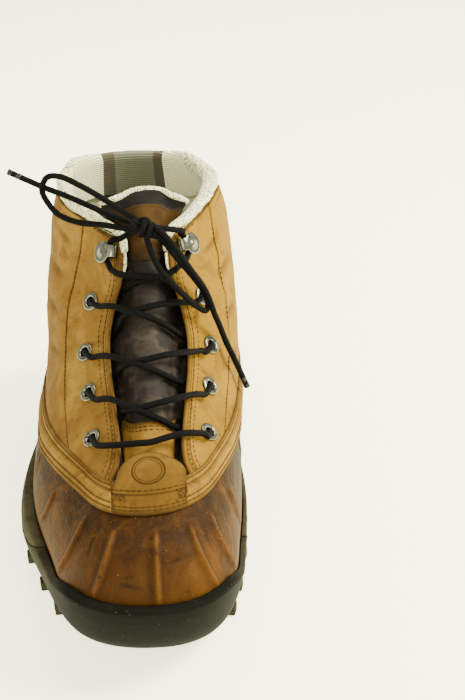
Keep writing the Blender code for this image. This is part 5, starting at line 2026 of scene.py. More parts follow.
@dataclass
class Band:
    """The strip over the join of vamp and quarters, with a raised roll along its middle."""

    last: Last
    width: float = 1.0  # in levels
    rows: int = 46
    columns: int = 360
    low: float = 0.35  # offset of its underside
    high: float = 1.75  # offset of its face
    roll: float = 0.75  # how far the roll stands out
    stitch_shares: tuple[float, ...] = (0.11, 0.27, 0.72, 0.89)
    stitch_half: float = 0.05  # half the width of a stitch row's trough, as a share of the band's
    ends: Pair = (-18.4, 15.8)  # where it meets the tab, from the middle line

    def places(self, shares: Array) -> tuple[Array, Array]:
        """Levels and turns at shares of its width, a row for each."""
        along = np.linspace(0, 1, self.columns)
        along = along - 0.3 * np.sin(2 * np.pi * along) / (2 * np.pi)
        shares = np.asarray(shares, float)[:, None] + 0 * along
        level = NEAR_BAND + self.width * shares
        for _ in range(4):
            start = self.last.turn_at(level[:, 0], self.ends[0])[:, None]
            end = self.last.turn_at(level[:, -1], self.ends[1])[:, None]
            turn = start + (end - start) * along
            level = band_level(turn) + self.width * shares
        return level, turn

    def build(self, finish: Material) -> Object:
        """Makes the band."""
        shares = np.linspace(0, 1, self.rows)
        level, turn = self.places(shares)
        plain = self.last.surface(level, turn)
        across = distances(plain)
        height = self.profile(shares)[:, None] + 0.16 * mottling(plain, 8.0)
        edge = np.minimum(across, across[-1:] - across)
        marks = sum(bump_at(shares - at, self.stitch_half) for at in self.stitch_shares)
        marks = np.clip(marks + 1.4 * bump_at(shares - 0.645, 0.03), 0, 1)[:, None]
        # crease: the grooves, where the finish paints shade
        values = {"edge": edge, "crease": marks}
        shape = sheet_on(self.last, level, turn, (height, self.low), False, 0.4, values)
        return shape.piece("band_strip", finish, "nubuck", "band")

    def profile(self, share: Array) -> Array:
        """How far its face stands out, at shares of its width from its lower edge."""
        height = self.high + self.roll * bump_at(share - 0.49, 0.16) - 0.2 * bump_at(share - 0.33, 0.06)
        height = height - 0.5 * smooth(share, 0.62, 0.66) + 0.25 * bump_at(share - 0.67, 0.05)
        for at in self.stitch_shares:
            height = height - 0.25 * bump_at(share - at, self.stitch_half)
        return height - 0.5 * (smooth(share, 0.05, 0.0) + smooth(share, 0.95, 1.0))

    def seams(self) -> list[Array]:
        """Places of its stitch rows, as levels, turns and offsets."""
        shares = np.array(self.stitch_shares)
        level, turn = self.places(shares)
        rows = zip(level, turn, self.profile(shares) + 0.14)
        return [seam_row(*row)[2:-2] for row in rows]


@dataclass
class Tab:
    """The half-moon at the foot of the throat, with a plain embossed ring."""

    last: Last
    ends: Pair = (-18.1, 15.5)
    moon: float = 15.7  # the half-moon's half width
    rise: float = 0.88
    lean: float = 2.2  # how far its top lies to the lateral side
    width: float = 1.0
    low: float = 0.35
    high: float = 1.95
    fold: float = 9.7  # where the half-moon's lower edge lies, from the strip's
    step: float = 0.5  # how much higher the half-moon's face lies than the strip's
    rows_at: tuple[float, ...] = (1.4, 3.0, 11.3)  # of its stitches, from the lower edge
    tacks: tuple[Pair, ...] = ((-16.6, -11.6), (11.0, 15.3))  # between which x they zigzag
    tack_steps: int = 15
    ring_at: Spot = Spot(4.37, -1.5)
    ring_radius: float = 7.3
    groove_half: float = 0.7  # half the width of the ring's groove
    groove_deep: float = 0.55
    fine_groove: Pair = (1.25, 0.4)  # how far inside the ring a finer one lies, and half its width
    dish: float = 0.22  # how much lower the leather lies inside the ring
    swell: Pair = (7.4, 2.2)  # where the strip swells a little, and half the width of that
    stitch_half: float = 0.8  # half the width of a stitch row's trough
    stitch_deep: float = 0.24
    crowd: float = 1.3  # above 1, its columns lie closer at its ends
    columns: int = 181
    rows: int = 110

    def grid(self, a: Array, share: Array) -> tuple[Array, Array, Array]:
        """Levels, turns and distances from the middle line, at places across and up the tab."""
        middle, half = sum(self.ends) / 2, (self.ends[1] - self.ends[0]) / 2
        x = middle + half * a
        leaning = x + self.lean * (1 - (x / self.moon) ** 2)
        moon = np.sqrt(np.clip(1 - (leaning / self.moon) ** 2, 0, None))
        level = band_level(self.last.turn_at(NEAR_BAND, x)) + (self.width + self.rise * moon) * share
        x = np.broadcast_to(x, level.shape)
        return level, self.last.turn_at(level, x), x

    def build(self, finish: Material) -> Object:
        """Makes the tab."""
        a = np.linspace(-1, 1, self.columns)
        a = np.sign(a) * (1 - (1 - np.abs(a)) ** self.crowd)
        level, turn, x = self.grid(a, np.linspace(0, 1, self.rows)[:, None])
        plain = self.last.surface(level, turn)
        centre = self.last.at(self.ring_at.level, self.ring_at.x).reshape(3)
        far = np.linalg.norm(plain - centre, axis=-1)
        inset, fine_half = self.fine_groove
        groove = bump_at(far - self.ring_radius, self.groove_half)
        groove = groove + 0.8 * bump_at(far - self.ring_radius + inset, fine_half)
        across = distances(plain)
        sides = np.minimum(x - self.ends[0], self.ends[1] - x)
        edge = np.minimum(np.minimum(across, across[-1:] - across), sides)
        step = smooth(across, self.fold - 0.15, self.fold + 0.35)
        high = self.high + self.step * step - self.groove_deep * groove
        high = high + 0.3 * bump_at(across - self.swell[0], self.swell[1])
        high = high - self.dish * smooth(far, self.ring_radius - 1.5, self.ring_radius - 2.1)
        stitched = sum(bump_at(across - row, self.stitch_half) for row in self.rows_at)
        high = high - self.stitch_deep * stitched - 0.5 * smooth(edge, 1.1, 0.0)
        high = high + 0.12 * mottling(plain, 7.0)
        marks = np.clip(1.5 * groove + 0.9 * bump_at(across - self.fold + 0.3, 0.7) + 0.5 * stitched, 0, 1)
        # crease: the grooves, where the finish paints shade
        values = {"edge": edge, "crease": marks}
        shape = sheet_on(self.last, level, turn, (high, self.low), False, 0.4, values)
        return shape.piece("throat_tab", finish, "nubuck", "tab")

    def seams(self) -> list[Array]:
        """Places of its stitch rows, as levels, turns and offsets."""
        rows = []
        for row in self.rows_at:
            above = row > self.fold
            a = np.linspace(-0.93, 0.93, 60) * (0.82 if above else 1.0)
            level, turn, _ = self.grid(a, np.full(60, 1e-6))
            offset = self.high - 0.1 + (self.step if above else 0.0)
            rows.append(seam_row(level + row / LEVEL_SPAN, turn, offset))
        base = float(band_level(np.array(0.0)))
        steps = np.arange(self.tack_steps)
        for near, far in self.tacks:
            x = near + (far - near) * (steps % 2)
            level = base + 0.30 + 0.5 * steps / (self.tack_steps - 1)
            rows.append(seam_row(level, self.last.turn_at(level, x), self.high + 0.32))
        level = np.linspace(base + 0.12, base + 0.95, 20)
        rows.append(seam_row(level, self.last.turn_at(level, self.ends[0] + 1.5), self.high - 0.05))
        return rows


# --- Stitching ---


STITCH_INPUTS = {
    "Geometry": "Geometry",
    "Pitch": "Float",
    "Length": "Float",
    "Thickness": "Float",
    "Seed": "Int",
    "Thread": "Material",
}
STITCH_NODES = {
    "start": "NodeGroupInput",
    "end": "NodeGroupOutput",
    "curve": "GeometryNodeMeshToCurve",
    "points": "GeometryNodeCurveToPoints",
    "ball": "GeometryNodeMeshUVSphere",
    "size": "ShaderNodeCombineXYZ",
    "shaped": "GeometryNodeTransform",
    "out": "GeometryNodeInputNamedAttribute",
    "along": "FunctionNodeAlignRotationToVector",
    "flat": "FunctionNodeAlignRotationToVector",
    "vary": "FunctionNodeRandomValue",
    "scale": "ShaderNodeCombineXYZ",
    "place": "GeometryNodeInstanceOnPoints",
    "real": "GeometryNodeRealizeInstances",
    "dressed": "GeometryNodeSetMaterial",
}
STITCH_LINKS = (
    ("start", "Geometry", "curve", 0),
    ("curve", 0, "points", "Curve"),
    ("start", "Pitch", "points", "Length"),
    ("start", "Length", "size", "X"),
    ("start", "Thickness", "size", "Y"),
    ("start", "Thickness", "size", "Z"),
    ("ball", "Mesh", "shaped", "Geometry"),
    ("size", 0, "shaped", "Scale"),
    ("points", "Tangent", "along", "Vector"),
    ("along", 0, "flat", "Rotation"),
    ("out", "Attribute", "flat", "Vector"),
    ("start", "Seed", "vary", "Seed"),
    ("points", "Points", "place", "Points"),
    ("shaped", 0, "place", "Instance"),
    ("flat", 0, "place", "Rotation"),
    ("scale", 0, "place", "Scale"),
    ("place", 0, "real", 0),
    ("real", 0, "dressed", "Geometry"),
    ("start", "Thread", "dressed", "Material"),
    ("dressed", 0, "end", 0),
)


@dataclass
class Stitching:
    """Rows of stitches laid along the leather by Geometry Nodes."""

    last: Last
    pitch: float = 2.75
    stitch: float = 2.0
    thick: float = 0.62
    sizes: Pair = (0.86, 1.10)  # of the smallest and the largest stitch
    seed: int = 3

    def tree(self) -> bpy.types.NodeTree:
        """The node tree: a stitch at each step of a seam, along it and flat on the leather."""
        tree = bpy.data.node_groups.new("stitch_rows", "GeometryNodeTree")
        for label, kind in STITCH_INPUTS.items():
            tree.interface.new_socket(label, in_out="INPUT", socket_type=f"NodeSocket{kind}")
        tree.interface.new_socket("Geometry", in_out="OUTPUT", socket_type="NodeSocketGeometry")
        made = {label: tree.nodes.new(kind) for label, kind in STITCH_NODES.items()}
        made["points"].mode = "LENGTH"
        for label, value in (("Segments", 6), ("Rings", 5), ("Radius", 0.5)):
            made["ball"].inputs[label].default_value = value
        made["out"].data_type = "FLOAT_VECTOR"
        made["out"].inputs["Name"].default_value = "out"
        made["along"].axis = "X"
        made["flat"].axis = "Z"
        made["flat"].pivot_axis = "X"
        vary = made["vary"]
        vary.data_type = "FLOAT"
        for label, value in zip(("Min", "Max"), self.sizes):
            socket = next(s for s in vary.inputs if s.name == label and s.type == "VALUE")
            socket.default_value = value
        size = next(s for s in vary.outputs if s.type == "VALUE")
        for axis in ("X", "Y", "Z"):
            tree.links.new(size, made["scale"].inputs[axis])
        for source, output, target, socket in STITCH_LINKS:
            tree.links.new(made[source].outputs[output], made[target].inputs[socket])
        return tree

    def guide(self, rows: Sequence[Array]) -> Object:
        """A mesh of edges along the rows, each point with the way out of the leather."""
        points, edges, outs = [], [], []
        for row in rows:
            level, turn, offset = row.T
            path = self.last.surface(level, turn, offset)
            outward = unit(self.last.surface(level, turn, offset + 1) - path)
            both = respaced(np.concatenate([path, outward], axis=1), 1.0)
            start = len(points)
            points += ((both[:, :3] + SHIFT) * MM).tolist()
            outs += unit(both[:, 3:]).tolist()
            edges += [(start + k, start + k + 1) for k in range(len(both) - 1)]
        mesh = bpy.data.meshes.new("guide")
        mesh.from_pydata(points, edges, [])
        layer = mesh.attributes.new("out", "FLOAT_VECTOR", "POINT")
        layer.data.foreach_set("vector", np.array(outs, np.float32).ravel())
        return linked("guide", mesh)

    def build(self, name: str, rows: Sequence[Array], thread: Material) -> Object:
        """Sews the rows.

        Args:
            name: the piece's name.
            rows: places along each row, as levels, turns and offsets.
            thread: the thread's material.

        Returns:
            One piece with every stitch of the rows.
        """
        guide = self.guide(rows)
        tree = self.tree()
        modifier = guide.modifiers.new("stitches", "NODES")
        modifier.node_group = tree
        sizes = {
            "Pitch": self.pitch * MM,
            "Length": self.stitch * MM,
            "Thickness": self.thick * MM,
            "Seed": self.seed,
            "Thread": thread,
        }
        for item in tree.interface.items_tree:
            if item.in_out == "INPUT" and item.name in sizes:
                modifier[item.identifier] = sizes[item.name]
        bpy.context.view_layer.update()
        return piece(name, baked(guide), thread, "nubuck")


# --- Tongue and collar ---


@dataclass
class Tongue:
    """The padded tongue with its leather base, and the panel, band and knit edge of its top."""

    last: Last
    form: TongueForm
    rows: int = 150
    columns: int = 84
    sunk: float = 0.5  # the pad's face lies this far below the tongue's form
    base_sides: Pair = (-0.87, 0.70)  # the tan base's reach across
    base_stitches: tuple[float, ...] = (1.1, 1.9)  # distances of its stitch rows from its top edge
    stitched_sides: Pair = (-0.82, 0.60)  # their reach across
    panel_foot: float = 7.95
    panel_top: float = 9.26
    panel_sides: Pair = (-0.86, 0.94)
    top: float = 9.60
    edge_radius: float = 1.35

    def build(self, looks: dict[str, Material]) -> None:
        """Makes the tongue's pieces, in looks by the names leather, tan, panel and knit."""
        self.make_pad(looks["leather"])
        self.make_base(looks["tan"])
        self.make_panel(looks["panel"])
        self.make_edge(looks["knit"])

    def base_edge(self, a: Array) -> Array:
        """Where the top edge of its tan base runs, as places up the tongue."""
        return 5.48 + 0.03 * np.asarray(a) ** 2

    def folds(self, points: Array, v: Array) -> Array:
        """How far the soft leather stands out in wrinkles."""
        wide = mottling(points * (0.5, 1.0, 1.1), 17.0, 2) * 0.9
        across = mottling(points * (0.35, 1.0, 1.7), 7.0, 2) * 0.3
        return (wide + across) * smooth(v, 4.6, 5.3) * smooth(v, 8.9, 8.0)

    def make_pad(self, leather: Material) -> None:
        """The pad itself, under wrinkled smooth leather."""
        v = np.linspace(self.form.rows[0].level, self.top - 0.02, self.rows)[:, None]
        a = np.linspace(-1, 1, self.columns)[None, :]
        a = np.sign(a) * (1 - (1 - np.abs(a)) ** 1.25)
        plain = self.form.face(v, a)
        height = self.folds(plain, v) - self.sunk - 0.5 * smooth(np.abs(a), 0.9, 1.0)
        height = height - 1.3 * smooth(self.base_edge(a) - v, 0.0, 0.2)
        outer = self.form.face(v, a, -height)
        inner = self.form.face(v, a, self.form.thickness(a) - 0.3)
        edge = (1 - np.abs(a)) * 24 + 0 * v
        # 1 on the dark strip above the panel; 0.8 from level 7.7 to 9, a painted shade below the panel
        strip_and_shade_mask = smooth(v, self.panel_top - 0.05, self.panel_top + 0.05) + 0.8 * smooth(v, 7.0, 7.7) * (v < 9)
        values = {"edge": edge, "high": strip_and_shade_mask + 0 * a}
        pad = shell(outer, inner, False, 0.6, values)
        pad.piece("tongue_pad", leather, "smooth_leather", "tongue")

    def overlay(self, name: str, v: Array, a: Array, high: Array, finish: Material, edge: Array) -> None:
        """Sews a thin piece on the tongue.

        Args:
            name: its name.
            v: places up the tongue, a row for each.
            a: places across it.
            high: how far it stands out of the tongue's form.
            finish: its material.
            edge: distances from its edge.
        """
        outer, inner = self.form.face(v, a, -high), self.form.face(v, a, 1.4)
        shape = shell(outer, inner, False, 0.3, {"edge": edge, "crease": 0 * edge})
        shape.piece(name, finish, "nubuck", "tongue")

    def make_base(self, tan: Material) -> None:
        """The tan piece at its foot."""
        a = np.linspace(*self.base_sides, 80)[None, :]
        share = np.linspace(0, 1, 80)[:, None]
        top = self.base_edge(a)
        v = 3.95 + (top - 3.95) * share
        a = np.broadcast_to(a, v.shape)
        below = (top - v) * LEVEL_SPAN
        edge = np.minimum(below, np.minimum(a - self.base_sides[0], self.base_sides[1] - a) * 20)
        high = 0.2 + 0.15 * mottling(self.form.face(v, a), 6.0) - 0.3 * smooth(edge, 1.0, 0.0)
        for row in self.base_stitches:
            high = high - 0.2 * bump_at(below - row, 0.4)
        self.overlay("tongue_base", v, a, high, tan, edge)

    def seams(self) -> list[Array]:
        """Places of the base's stitch rows, as levels, turns and offsets."""
        rows = []
        for row in self.base_stitches:
            a = np.linspace(*self.stitched_sides, 40)
            level = self.base_edge(a) - row / LEVEL_SPAN
            x = a * self.form.column(level, "half_width")
            offset = self.form.offset(level, x) + 0.2
            rows.append(seam_row(level, self.last.turn_at(level, x), offset))
        return rows

    def make_panel(self, brown: Material) -> None:
        """The brown panel near its top."""
        left, right = self.panel_sides
        a = np.linspace(left, right, 96)[None, :]
        share = np.linspace(0, 1, 70)[:, None]
        top = self.panel_top - 0.09 * a**2
        foot = self.panel_foot + 0.12 * a**2
        v = foot + (top - foot) * share
        a = np.broadcast_to(a, v.shape)
        edge = np.minimum((top - v) * self.form.top, (v - foot) * LEVEL_SPAN)
        edge = np.minimum(edge, np.minimum(a - left, right - a) * 24)
        high = 0.3 + 0.25 * mottling(self.form.face(v, a), 9.0) - 0.4 * smooth(edge, 1.0, 0.0)
        high = high - 0.25 * bump_at(edge - 2.0, 0.8)
        self.overlay("tongue_panel", v, a, high, brown, edge)

    def make_edge(self, knit: Material) -> None:
        """The knit roll round its top edge and down its sides."""
        side = np.linspace(9.5, self.top, 3)[:-1]
        across = np.linspace(-1, 1, 40)
        v = np.concatenate([side, self.top + 0 * across, side[::-1]])
        a = np.concatenate([-1 + 0 * side, across, 1 + 0 * side])
        middle = self.form.thickness(a) * 0.4
        path = respaced(self.form.face(v, a, middle), 0.8)
        along = np.linspace(0, 1, len(path))
        radius = self.edge_radius + 0.5 * np.sin(np.pi * along) + 0.15 * mottling(path, 4.0)
        radius = radius * (0.45 + 0.55 * smooth(along, 0, 0.12) * smooth(along, 1, 0.88))
        roll = tube(path, radius, 18)
        count = len(roll.points)
        roll.values = {"knit": np.ones(count), "turn": np.zeros(count), "rim": np.zeros(count)}
        roll.piece("tongue_knit_edge", knit, "knit", "tongue")


@dataclass
class Cuff:
    """The padded knit roll on the collar's edge, thick at the back and thin at the hooks."""

    last: Last
    gap: float = 0.6
    wide: float = 8.0
    high: float = 10.0
    end_wide: float = 3.5
    end_high: float = 3.0
    side_wide: float = 3.5  # how much wider it is inwards along its sides
    puff: float = 3.0  # how much higher it stands at the back's corners
    flap: float = 16.0  # how far it reaches down inside at the back
    swell: float = 0.7
    square: float = 0.86  # below 1, its section is squarer than an ellipse
    out: float = 1.0
    side_turns: Pair = (0.13, 0.24)  # from the back, the turns over which it grows to its side width
    flap_turns: Pair = (0.24, 0.12)  # over which the flap grows towards the back
    back_turns: Pair = (0.15, 0.10)  # over which the knit's border moves inwards
    corners: Pair = (0.13, 0.09)  # where the back's corners puff up, and half the width of that
    borders: Pair = (-100, 42)  # where knit turns to lining, in degrees from the top: sides, back
    end_levels: tuple[float, ...] = (8.1, 8.6, 8.85)
    steps: int = 26
    sides: int = 44

    def route(self) -> tuple[Array, Array, Array, Array]:
        """The collar's edge, from the lateral hook round the back to the medial one.

        Returns:
            Close points on it, the ways out of the leather there, shares of the way, and turns.
        """
        levels = np.array(self.end_levels)
        lateral = self.last.turn_at(levels, -self.last.half_gap(levels))
        medial = self.last.turn_at(levels, self.last.half_gap(levels))
        start, end = self.last.facing_turns(np.array([COLLAR]))
        around = start + (end - start) * np.linspace(0, 1, self.steps + 1)
        level = np.concatenate([levels, COLLAR + 0 * around, levels[::-1]])
        turn = np.concatenate([lateral, around, medial[::-1]])
        points = self.last.surface(level, turn)
        outs = unit(self.last.surface(level, turn, 1.0) - points)
        share = np.linspace(0, 1, len(points))[:, None]
        table = np.concatenate([points, outs, share, turn[:, None]], axis=1)
        places = np.arange(len(points))
        fine = np.linspace(0, len(points) - 1, 40 * len(points))
        dense = np.stack([hermite(fine, places, column) for column in table.T], -1)
        along = distances(dense[:, :3])
        even = np.linspace(0, along[-1], round(along[-1] / 0.9))
        rows = np.stack([np.interp(even, along, column) for column in dense.T], -1)
        return rows[:, :3], unit(rows[:, 3:6]), np.clip(rows[:, 6], 0, 1), rows[:, 7]

    def build(self, cloth: Material) -> None:
        """Makes the roll."""
        points, outs, share, turn = self.route()
        ahead = unit(np.gradient(points, axis=0))
        edge = unit(np.cross(ahead, outs))
        edge = edge * np.where(edge[:, 2:] < 0, -1, 1)
        full = np.sin(np.pi * share) ** self.swell
        high = (self.end_high + (self.high - self.end_high) * full)[:, None]
        wide = (self.end_wide + (self.wide - self.end_wide) * full)[:, None]
        from_back = np.abs(turn - BACK_TURN)
        wide = wide + (self.side_wide * full * smooth(from_back, *self.side_turns))[:, None]
        centre = points + edge * (self.gap + high / 2) + outs * (self.out - wide / 2)
        angles = circle(self.sides)
        round_up, round_out = (
            np.sign(part) * np.abs(part) ** self.square for part in (np.cos(angles), np.sin(angles))
        )
        back = smooth(from_back, *self.back_turns)[:, None]
        flap = smooth(from_back, *self.flap_turns)[:, None]
        corner = bump_at(from_back - self.corners[0], self.corners[1])[:, None]
        puff = self.puff * corner * np.maximum(np.cos(angles), 0)
        down = np.clip((1.5 * np.pi - angles) / (0.4 * np.pi), 0, 1) * (angles > 1.02 * np.pi)
        up = high / 2 * round_up + puff - flap * down * self.flap
        hung = flap * (down > 0)
        out = wide / 2 * round_out * (1 - hung) - hung * wide / 2 * (1 - 0.12 * down)
        grid = centre[:, None] + edge[:, None] * up[..., None] + outs[:, None] * out[..., None]
        side_border, back_border = np.radians(self.borders)
        border = side_border + (back_border - side_border) * back
        signed = np.where(angles > np.pi, angles - 2 * np.pi, angles)[None, :]
        knit = smooth(signed - border, -0.06, 0.06) * np.ones_like(grid[..., 0])
        lumps = (0.55 * mottling(grid, 9.0) + 0.25 * mottling(grid, 2.6, 2)) * (0.25 + 0.75 * knit)
        away = unit(grid - centre[:, None])
        grid = grid + away * (lumps * np.minimum(1.0, full * 1.6)[:, None])[..., None]
        rise = np.sum((grid - points[:, None]) * edge[:, None], axis=-1)
        values = {
            "knit": knit.reshape(-1),
            "turn": (turn[:, None] + 0 * rise).reshape(-1),
            "rim": -rise.reshape(-1),
        }
        shape = Shape(grid.reshape(-1, 3), capped(len(points), self.sides), values).turned_out()
        shape.piece("collar_roll", cloth, "knit", "collar_cuff")


# --- Metal ---


@dataclass
class Eyelets:
    """The rolled metal rings of the eyelets."""

    last: Last
    profile: tuple[Pair, ...] = (
        (2.5, -2.9), (2.9, -2.9), (2.9, 0.45), (4.95, 0.45), (5.15, 0.62), (5.12, 0.92), (4.8, 1.25),
        (4.25, 1.47), (3.55, 1.5), (3.0, 1.33), (2.64, 0.95), (2.5, 0.5)
    )  # radius and height
    sides: int = 48
    drill_sides: int = 32
    drill_radius: float = 3.15
    drill_depth: float = 7.0

    def places(self) -> list[tuple[str, Matrix]]:
        """Each eyelet's CAD name and place."""
        return [
            (f"eyelet_{side.name.lower()}_{number}", self.last.frame_at(spot, side))
            for side in SIDES
            for number, spot in enumerate(EYELETS, 1)
        ]

    def build(self, metal: Material) -> None:
        """Makes the rings."""
        points, faces = lathe(self.profile, self.sides)
        for name, matrix in self.places():
            shape = Shape(placed(points, matrix), faces).turned_out()
            shape.piece(f"ring_{name}", metal, "nickel", name)

    def drills(self) -> Mesh:
        """Cylinders that cut the eyelets' holes."""
        angles = circle(self.drill_sides)
        ring = np.stack([np.cos(angles), np.sin(angles), 0 * angles], -1) * self.drill_radius
        deep = np.array((0.0, 0.0, self.drill_depth))
        ends = np.concatenate([ring - deep, ring + deep])
        faces = capped(2, self.drill_sides)
        drills = joined(Shape(placed(ends, matrix), faces) for _, matrix in self.places())
        return drills.turned_out().mesh("drills")


@dataclass
class Hooks:
    """The lace hooks: a strap folded back over its foot, and a round head."""

    last: Last
    strap: tuple[Pair, ...] = (
        (-3.4, 0.6), (-4.7, 1.1), (-5.5, 2.4), (-5.45, 3.8), (-4.7, 5.0), (-3.5, 5.9), (-2.0, 6.2),
        (3.0, 6.2), (3.0, 5.0), (-1.6, 5.0), (-2.8, 4.7), (-3.6, 4.0), (-4.1, 3.3), (-4.1, 2.6),
        (-3.5, 1.9), (-2.6, 1.7), (3.6, 1.7), (3.6, 0.6)
    )  # its side view: away from the throat, and out
    width: float = 6.6
    head_at: Point = (2.6, 0.0, 5.6)
    head: tuple[Pair, ...] = (
        (0.05, -0.7), (5.5, -0.7), (5.85, -0.5), (6.0, -0.1), (5.95, 0.25), (5.7, 0.55),
        (5.2, 0.68), (4.6, 0.60), (2.0, 0.66), (1.6, 0.95), (0.05, 1.05)
    )  # radius and height
    head_sides: int = 56
    sharp: float = 50.0  # degrees between faces whose edge stays sharp
    bevel: float = 0.45

    def build(self, metal: Material) -> None:
        """Makes both hooks."""
        half = self.width / 2
        rows = np.array([(x, y, z) for y in (-half, half) for x, z in self.strap])
        faces = capped(2, len(self.strap))
        head_points, head_faces = lathe(self.head, self.head_sides)
        head = Shape(head_points + np.array(self.head_at), head_faces).turned_out()
        for side in SIDES:
            matrix = self.last.frame_at(HOOKS[side], side)
            strap = Shape(placed(rows, matrix), faces).turned_out().mesh("strap")
            strap = bevelled(strap, self.bevel, 3, self.sharp)
            points = np.array([v.co[:] for v in strap.vertices]) / MM - SHIFT
            polygons = [tuple(p.vertices) for p in strap.polygons]
            shape = Shape(points, polygons).plus(Shape(placed(head.points, matrix), head.faces))
            name = f"lace_hook_{side.name.lower()}"
            mesh = shape.mesh(name)
            mesh.set_sharp_from_angle(angle=math.radians(self.sharp))
            piece(f"metal_{name}", mesh, metal, "nickel", name)


# --- Sole ---


@dataclass
class Sole:
    """Outsole with bumper, tread and lugs, and midsole."""

    last: Last
    tread: float = 4.5
    spring: tuple[Pair, ...] = (
        (-148, 10), (-130, 4.2), (-112, 0.8), (-98, 0), (0, 0), (30, 1.5), (52, 1), (70, 0), (148, 0)
    )  # along the boot: how far its bottom rises
    rim: tuple[Pair, ...] = (
        (-148, 48), (-128, 44), (-105, 32), (-80, 28), (-48, 31), (0, 34), (60, 35), (148, 37)
    )  # along the boot: the height of its rim
    parting: tuple[Pair, ...] = (
        (160, 13), (0, 13), (-38, 14.5), (-60, 19), (-74, 25), (-83, 34), (-87, 60)
    )  # the line between outsole and midsole: along the boot, and up
    lateral_lugs: tuple[float, ...] = (-95, -77, -56, -30, -3, 62, 84, 106, 127)
    medial_lugs: tuple[float, ...] = (-102, -85, -62, -36, -10, 62, 84, 106, 127)
    lug_width: float = 12.0
    lug_tip_width: float = 5.6
    lug_stand: float = 3.3
    first_stand: float = 2.0
    lug_top: float = 6.0
    lug_inner: float = 6.0
    lug_sweep: float = 9.0
    lug_round: float = 0.7
    columns: int = 400
    edge_round: float = 1.5  # of the rim
    bottom_round: tuple[Pair, ...] = ((1.4, 0.0), (0.7, 0.15), (0.2, 0.6))  # its rings: in, and up
    wall_rows: int = 18
    lap: float = 0.45  # how far from the leather the rim ends
    proud: float = 0.5  # how far the outsole's wall stands out of the midsole's
    sharp: float = 38.0  # degrees between faces whose edge stays sharp

    def turns(self) -> Array:
        """Turns round the sole, closer at the ends, where it curves most."""
        t = np.linspace(0, 1, self.columns, endpoint=False)
        return t - 0.35 * np.sin(4 * np.pi * t) / (4 * np.pi)

    def heights(self, table: Sequence[Pair], y: Array) -> Array:
        """A table of heights along the boot, read at y."""
        places, values = zip(*table)
        return hermite(y.reshape(-1), places, values).reshape(y.shape)

    def level_at(self, turn: Array, z: Array) -> Array:
        """The levels of the last at which the leather reaches heights."""
        return bisected(np.full(turn.size, 2.0), 24, lambda level: self.last.skin(level, turn)[:, 2] < z)

    def wall(self, at: float, turn: Array, proud: float) -> Array:
        """A ring of the sole's wall; at runs from 0 at the bottom to 4 at the rim."""
        columns = self.last.columns(np.full(turn.size, at), SOLE_ROWS)
        points = self.last.ring(columns, turn)
        rise = float(hermite(at, range(len(SOLE_RISE)), SOLE_RISE)[0])
        bottom = self.tread + self.heights(self.spring, points[:, 1])
        top = self.heights(self.rim, points[:, 1])
        points[:, 2] = bottom + (top - bottom) * rise
        ahead = np.roll(points, -1, axis=0) - np.roll(points, 1, axis=0)
        out = unit(np.cross(ahead, (0.0, 0.0, -1.0)))
        sign = np.sign(np.sum(out * (points - points.mean(axis=0)), axis=1))[:, None]
        return points + out * sign * proud

    def form(self, proud: float) -> Mesh:
        """The sole before it is parted."""
        turn = self.turns()
        base = self.wall(0.0, turn, proud)
        rings = []
        centre = base.mean(axis=0)
        inward = unit((centre - base) * (1, 1, 0))
        for inset, lift in self.bottom_round:
            rings.append(base + inward * inset + (0.0, 0.0, lift))
        rings += [self.wall(at, turn, proud) for at in np.linspace(0.35, 3.6, self.wall_rows)]
        edge = self.wall(len(SOLE_ROWS) - 1.0, turn, proud)
        level = self.level_at(turn, edge[:, 2])
        lap = self.last.surface(level, turn, self.lap)
        across = lap - edge
        width = np.linalg.norm(across, axis=1, keepdims=True)
        radius = np.minimum(self.edge_round, 0.42 * width)
        inward = across / width
        for angle in np.radians((0, 22, 45, 68, 90)):
            lift = radius * (math.sin(angle) - 1)
            rings.append(edge + inward * radius * (1 - math.cos(angle)) + lift * (0.0, 0.0, 1.0))
        rings.append(edge + inward * (width - 0.9) + (0.0, 0.0, 0.1))
        rings.append(lap + (0.0, 0.0, -0.5))
        rings.append(self.last.surface(level / 2, turn, 0.75))
        seat = self.last.surface(0 * turn, turn, 0.25)
        seat[:, 2] = self.heights(self.last.seat_heights, seat[:, 1])
        rings.append(seat)
        count, half = self.columns, self.columns // 2
        cap = [(half - 1, half, half + 1), (0, 1, count - 1)]
        cap += [(k, k + 1, count - k - 1, count - k) for k in range(1, half - 1)]
        top = (len(rings) - 1) * count
        faces = quads(len(rings), count, True)
        faces += [face[::-1] for face in cap]
        faces += [tuple(top + k for k in face) for face in cap]
        return Shape(np.concatenate(rings), faces).turned_out().mesh("sole")

    def prism(self, lift: float) -> Mesh:
        """The cutter above the line between outsole and midsole."""
        table = np.array(self.parting) + (lift, lift)
        fine = spline(np.column_stack([table, np.zeros(len(table))]), 2.5)[:, :2]
        fine[:, 1] = np.maximum(fine[:, 1], self.parting[0][1] + lift)
        outline = np.concatenate([[(fine[0, 0], 90.0)], fine, [(fine[-1, 0], 90.0)]])
        points = np.array([(side.value * 120, y, z) for side in SIDES for y, z in outline])
        return Shape(points, capped(2, len(outline))).turned_out().mesh("parting")

    def tip_at(self, y: float, side: Side) -> Array:
        """The point of the sole's edge at y."""
        columns = self.last.columns(np.array([1.0]), SOLE_ROWS)

        def ring_point(turn: Array) -> Array:
            """The edge's point at a turn, counted from the front on either side."""
            return self.last.ring(columns, turn if side is Side.LATERAL else 1 - turn)[0]

        found = bisected(np.array([0.5]), 30, lambda turn: ring_point(turn)[1] < y)
        return ring_point(found)

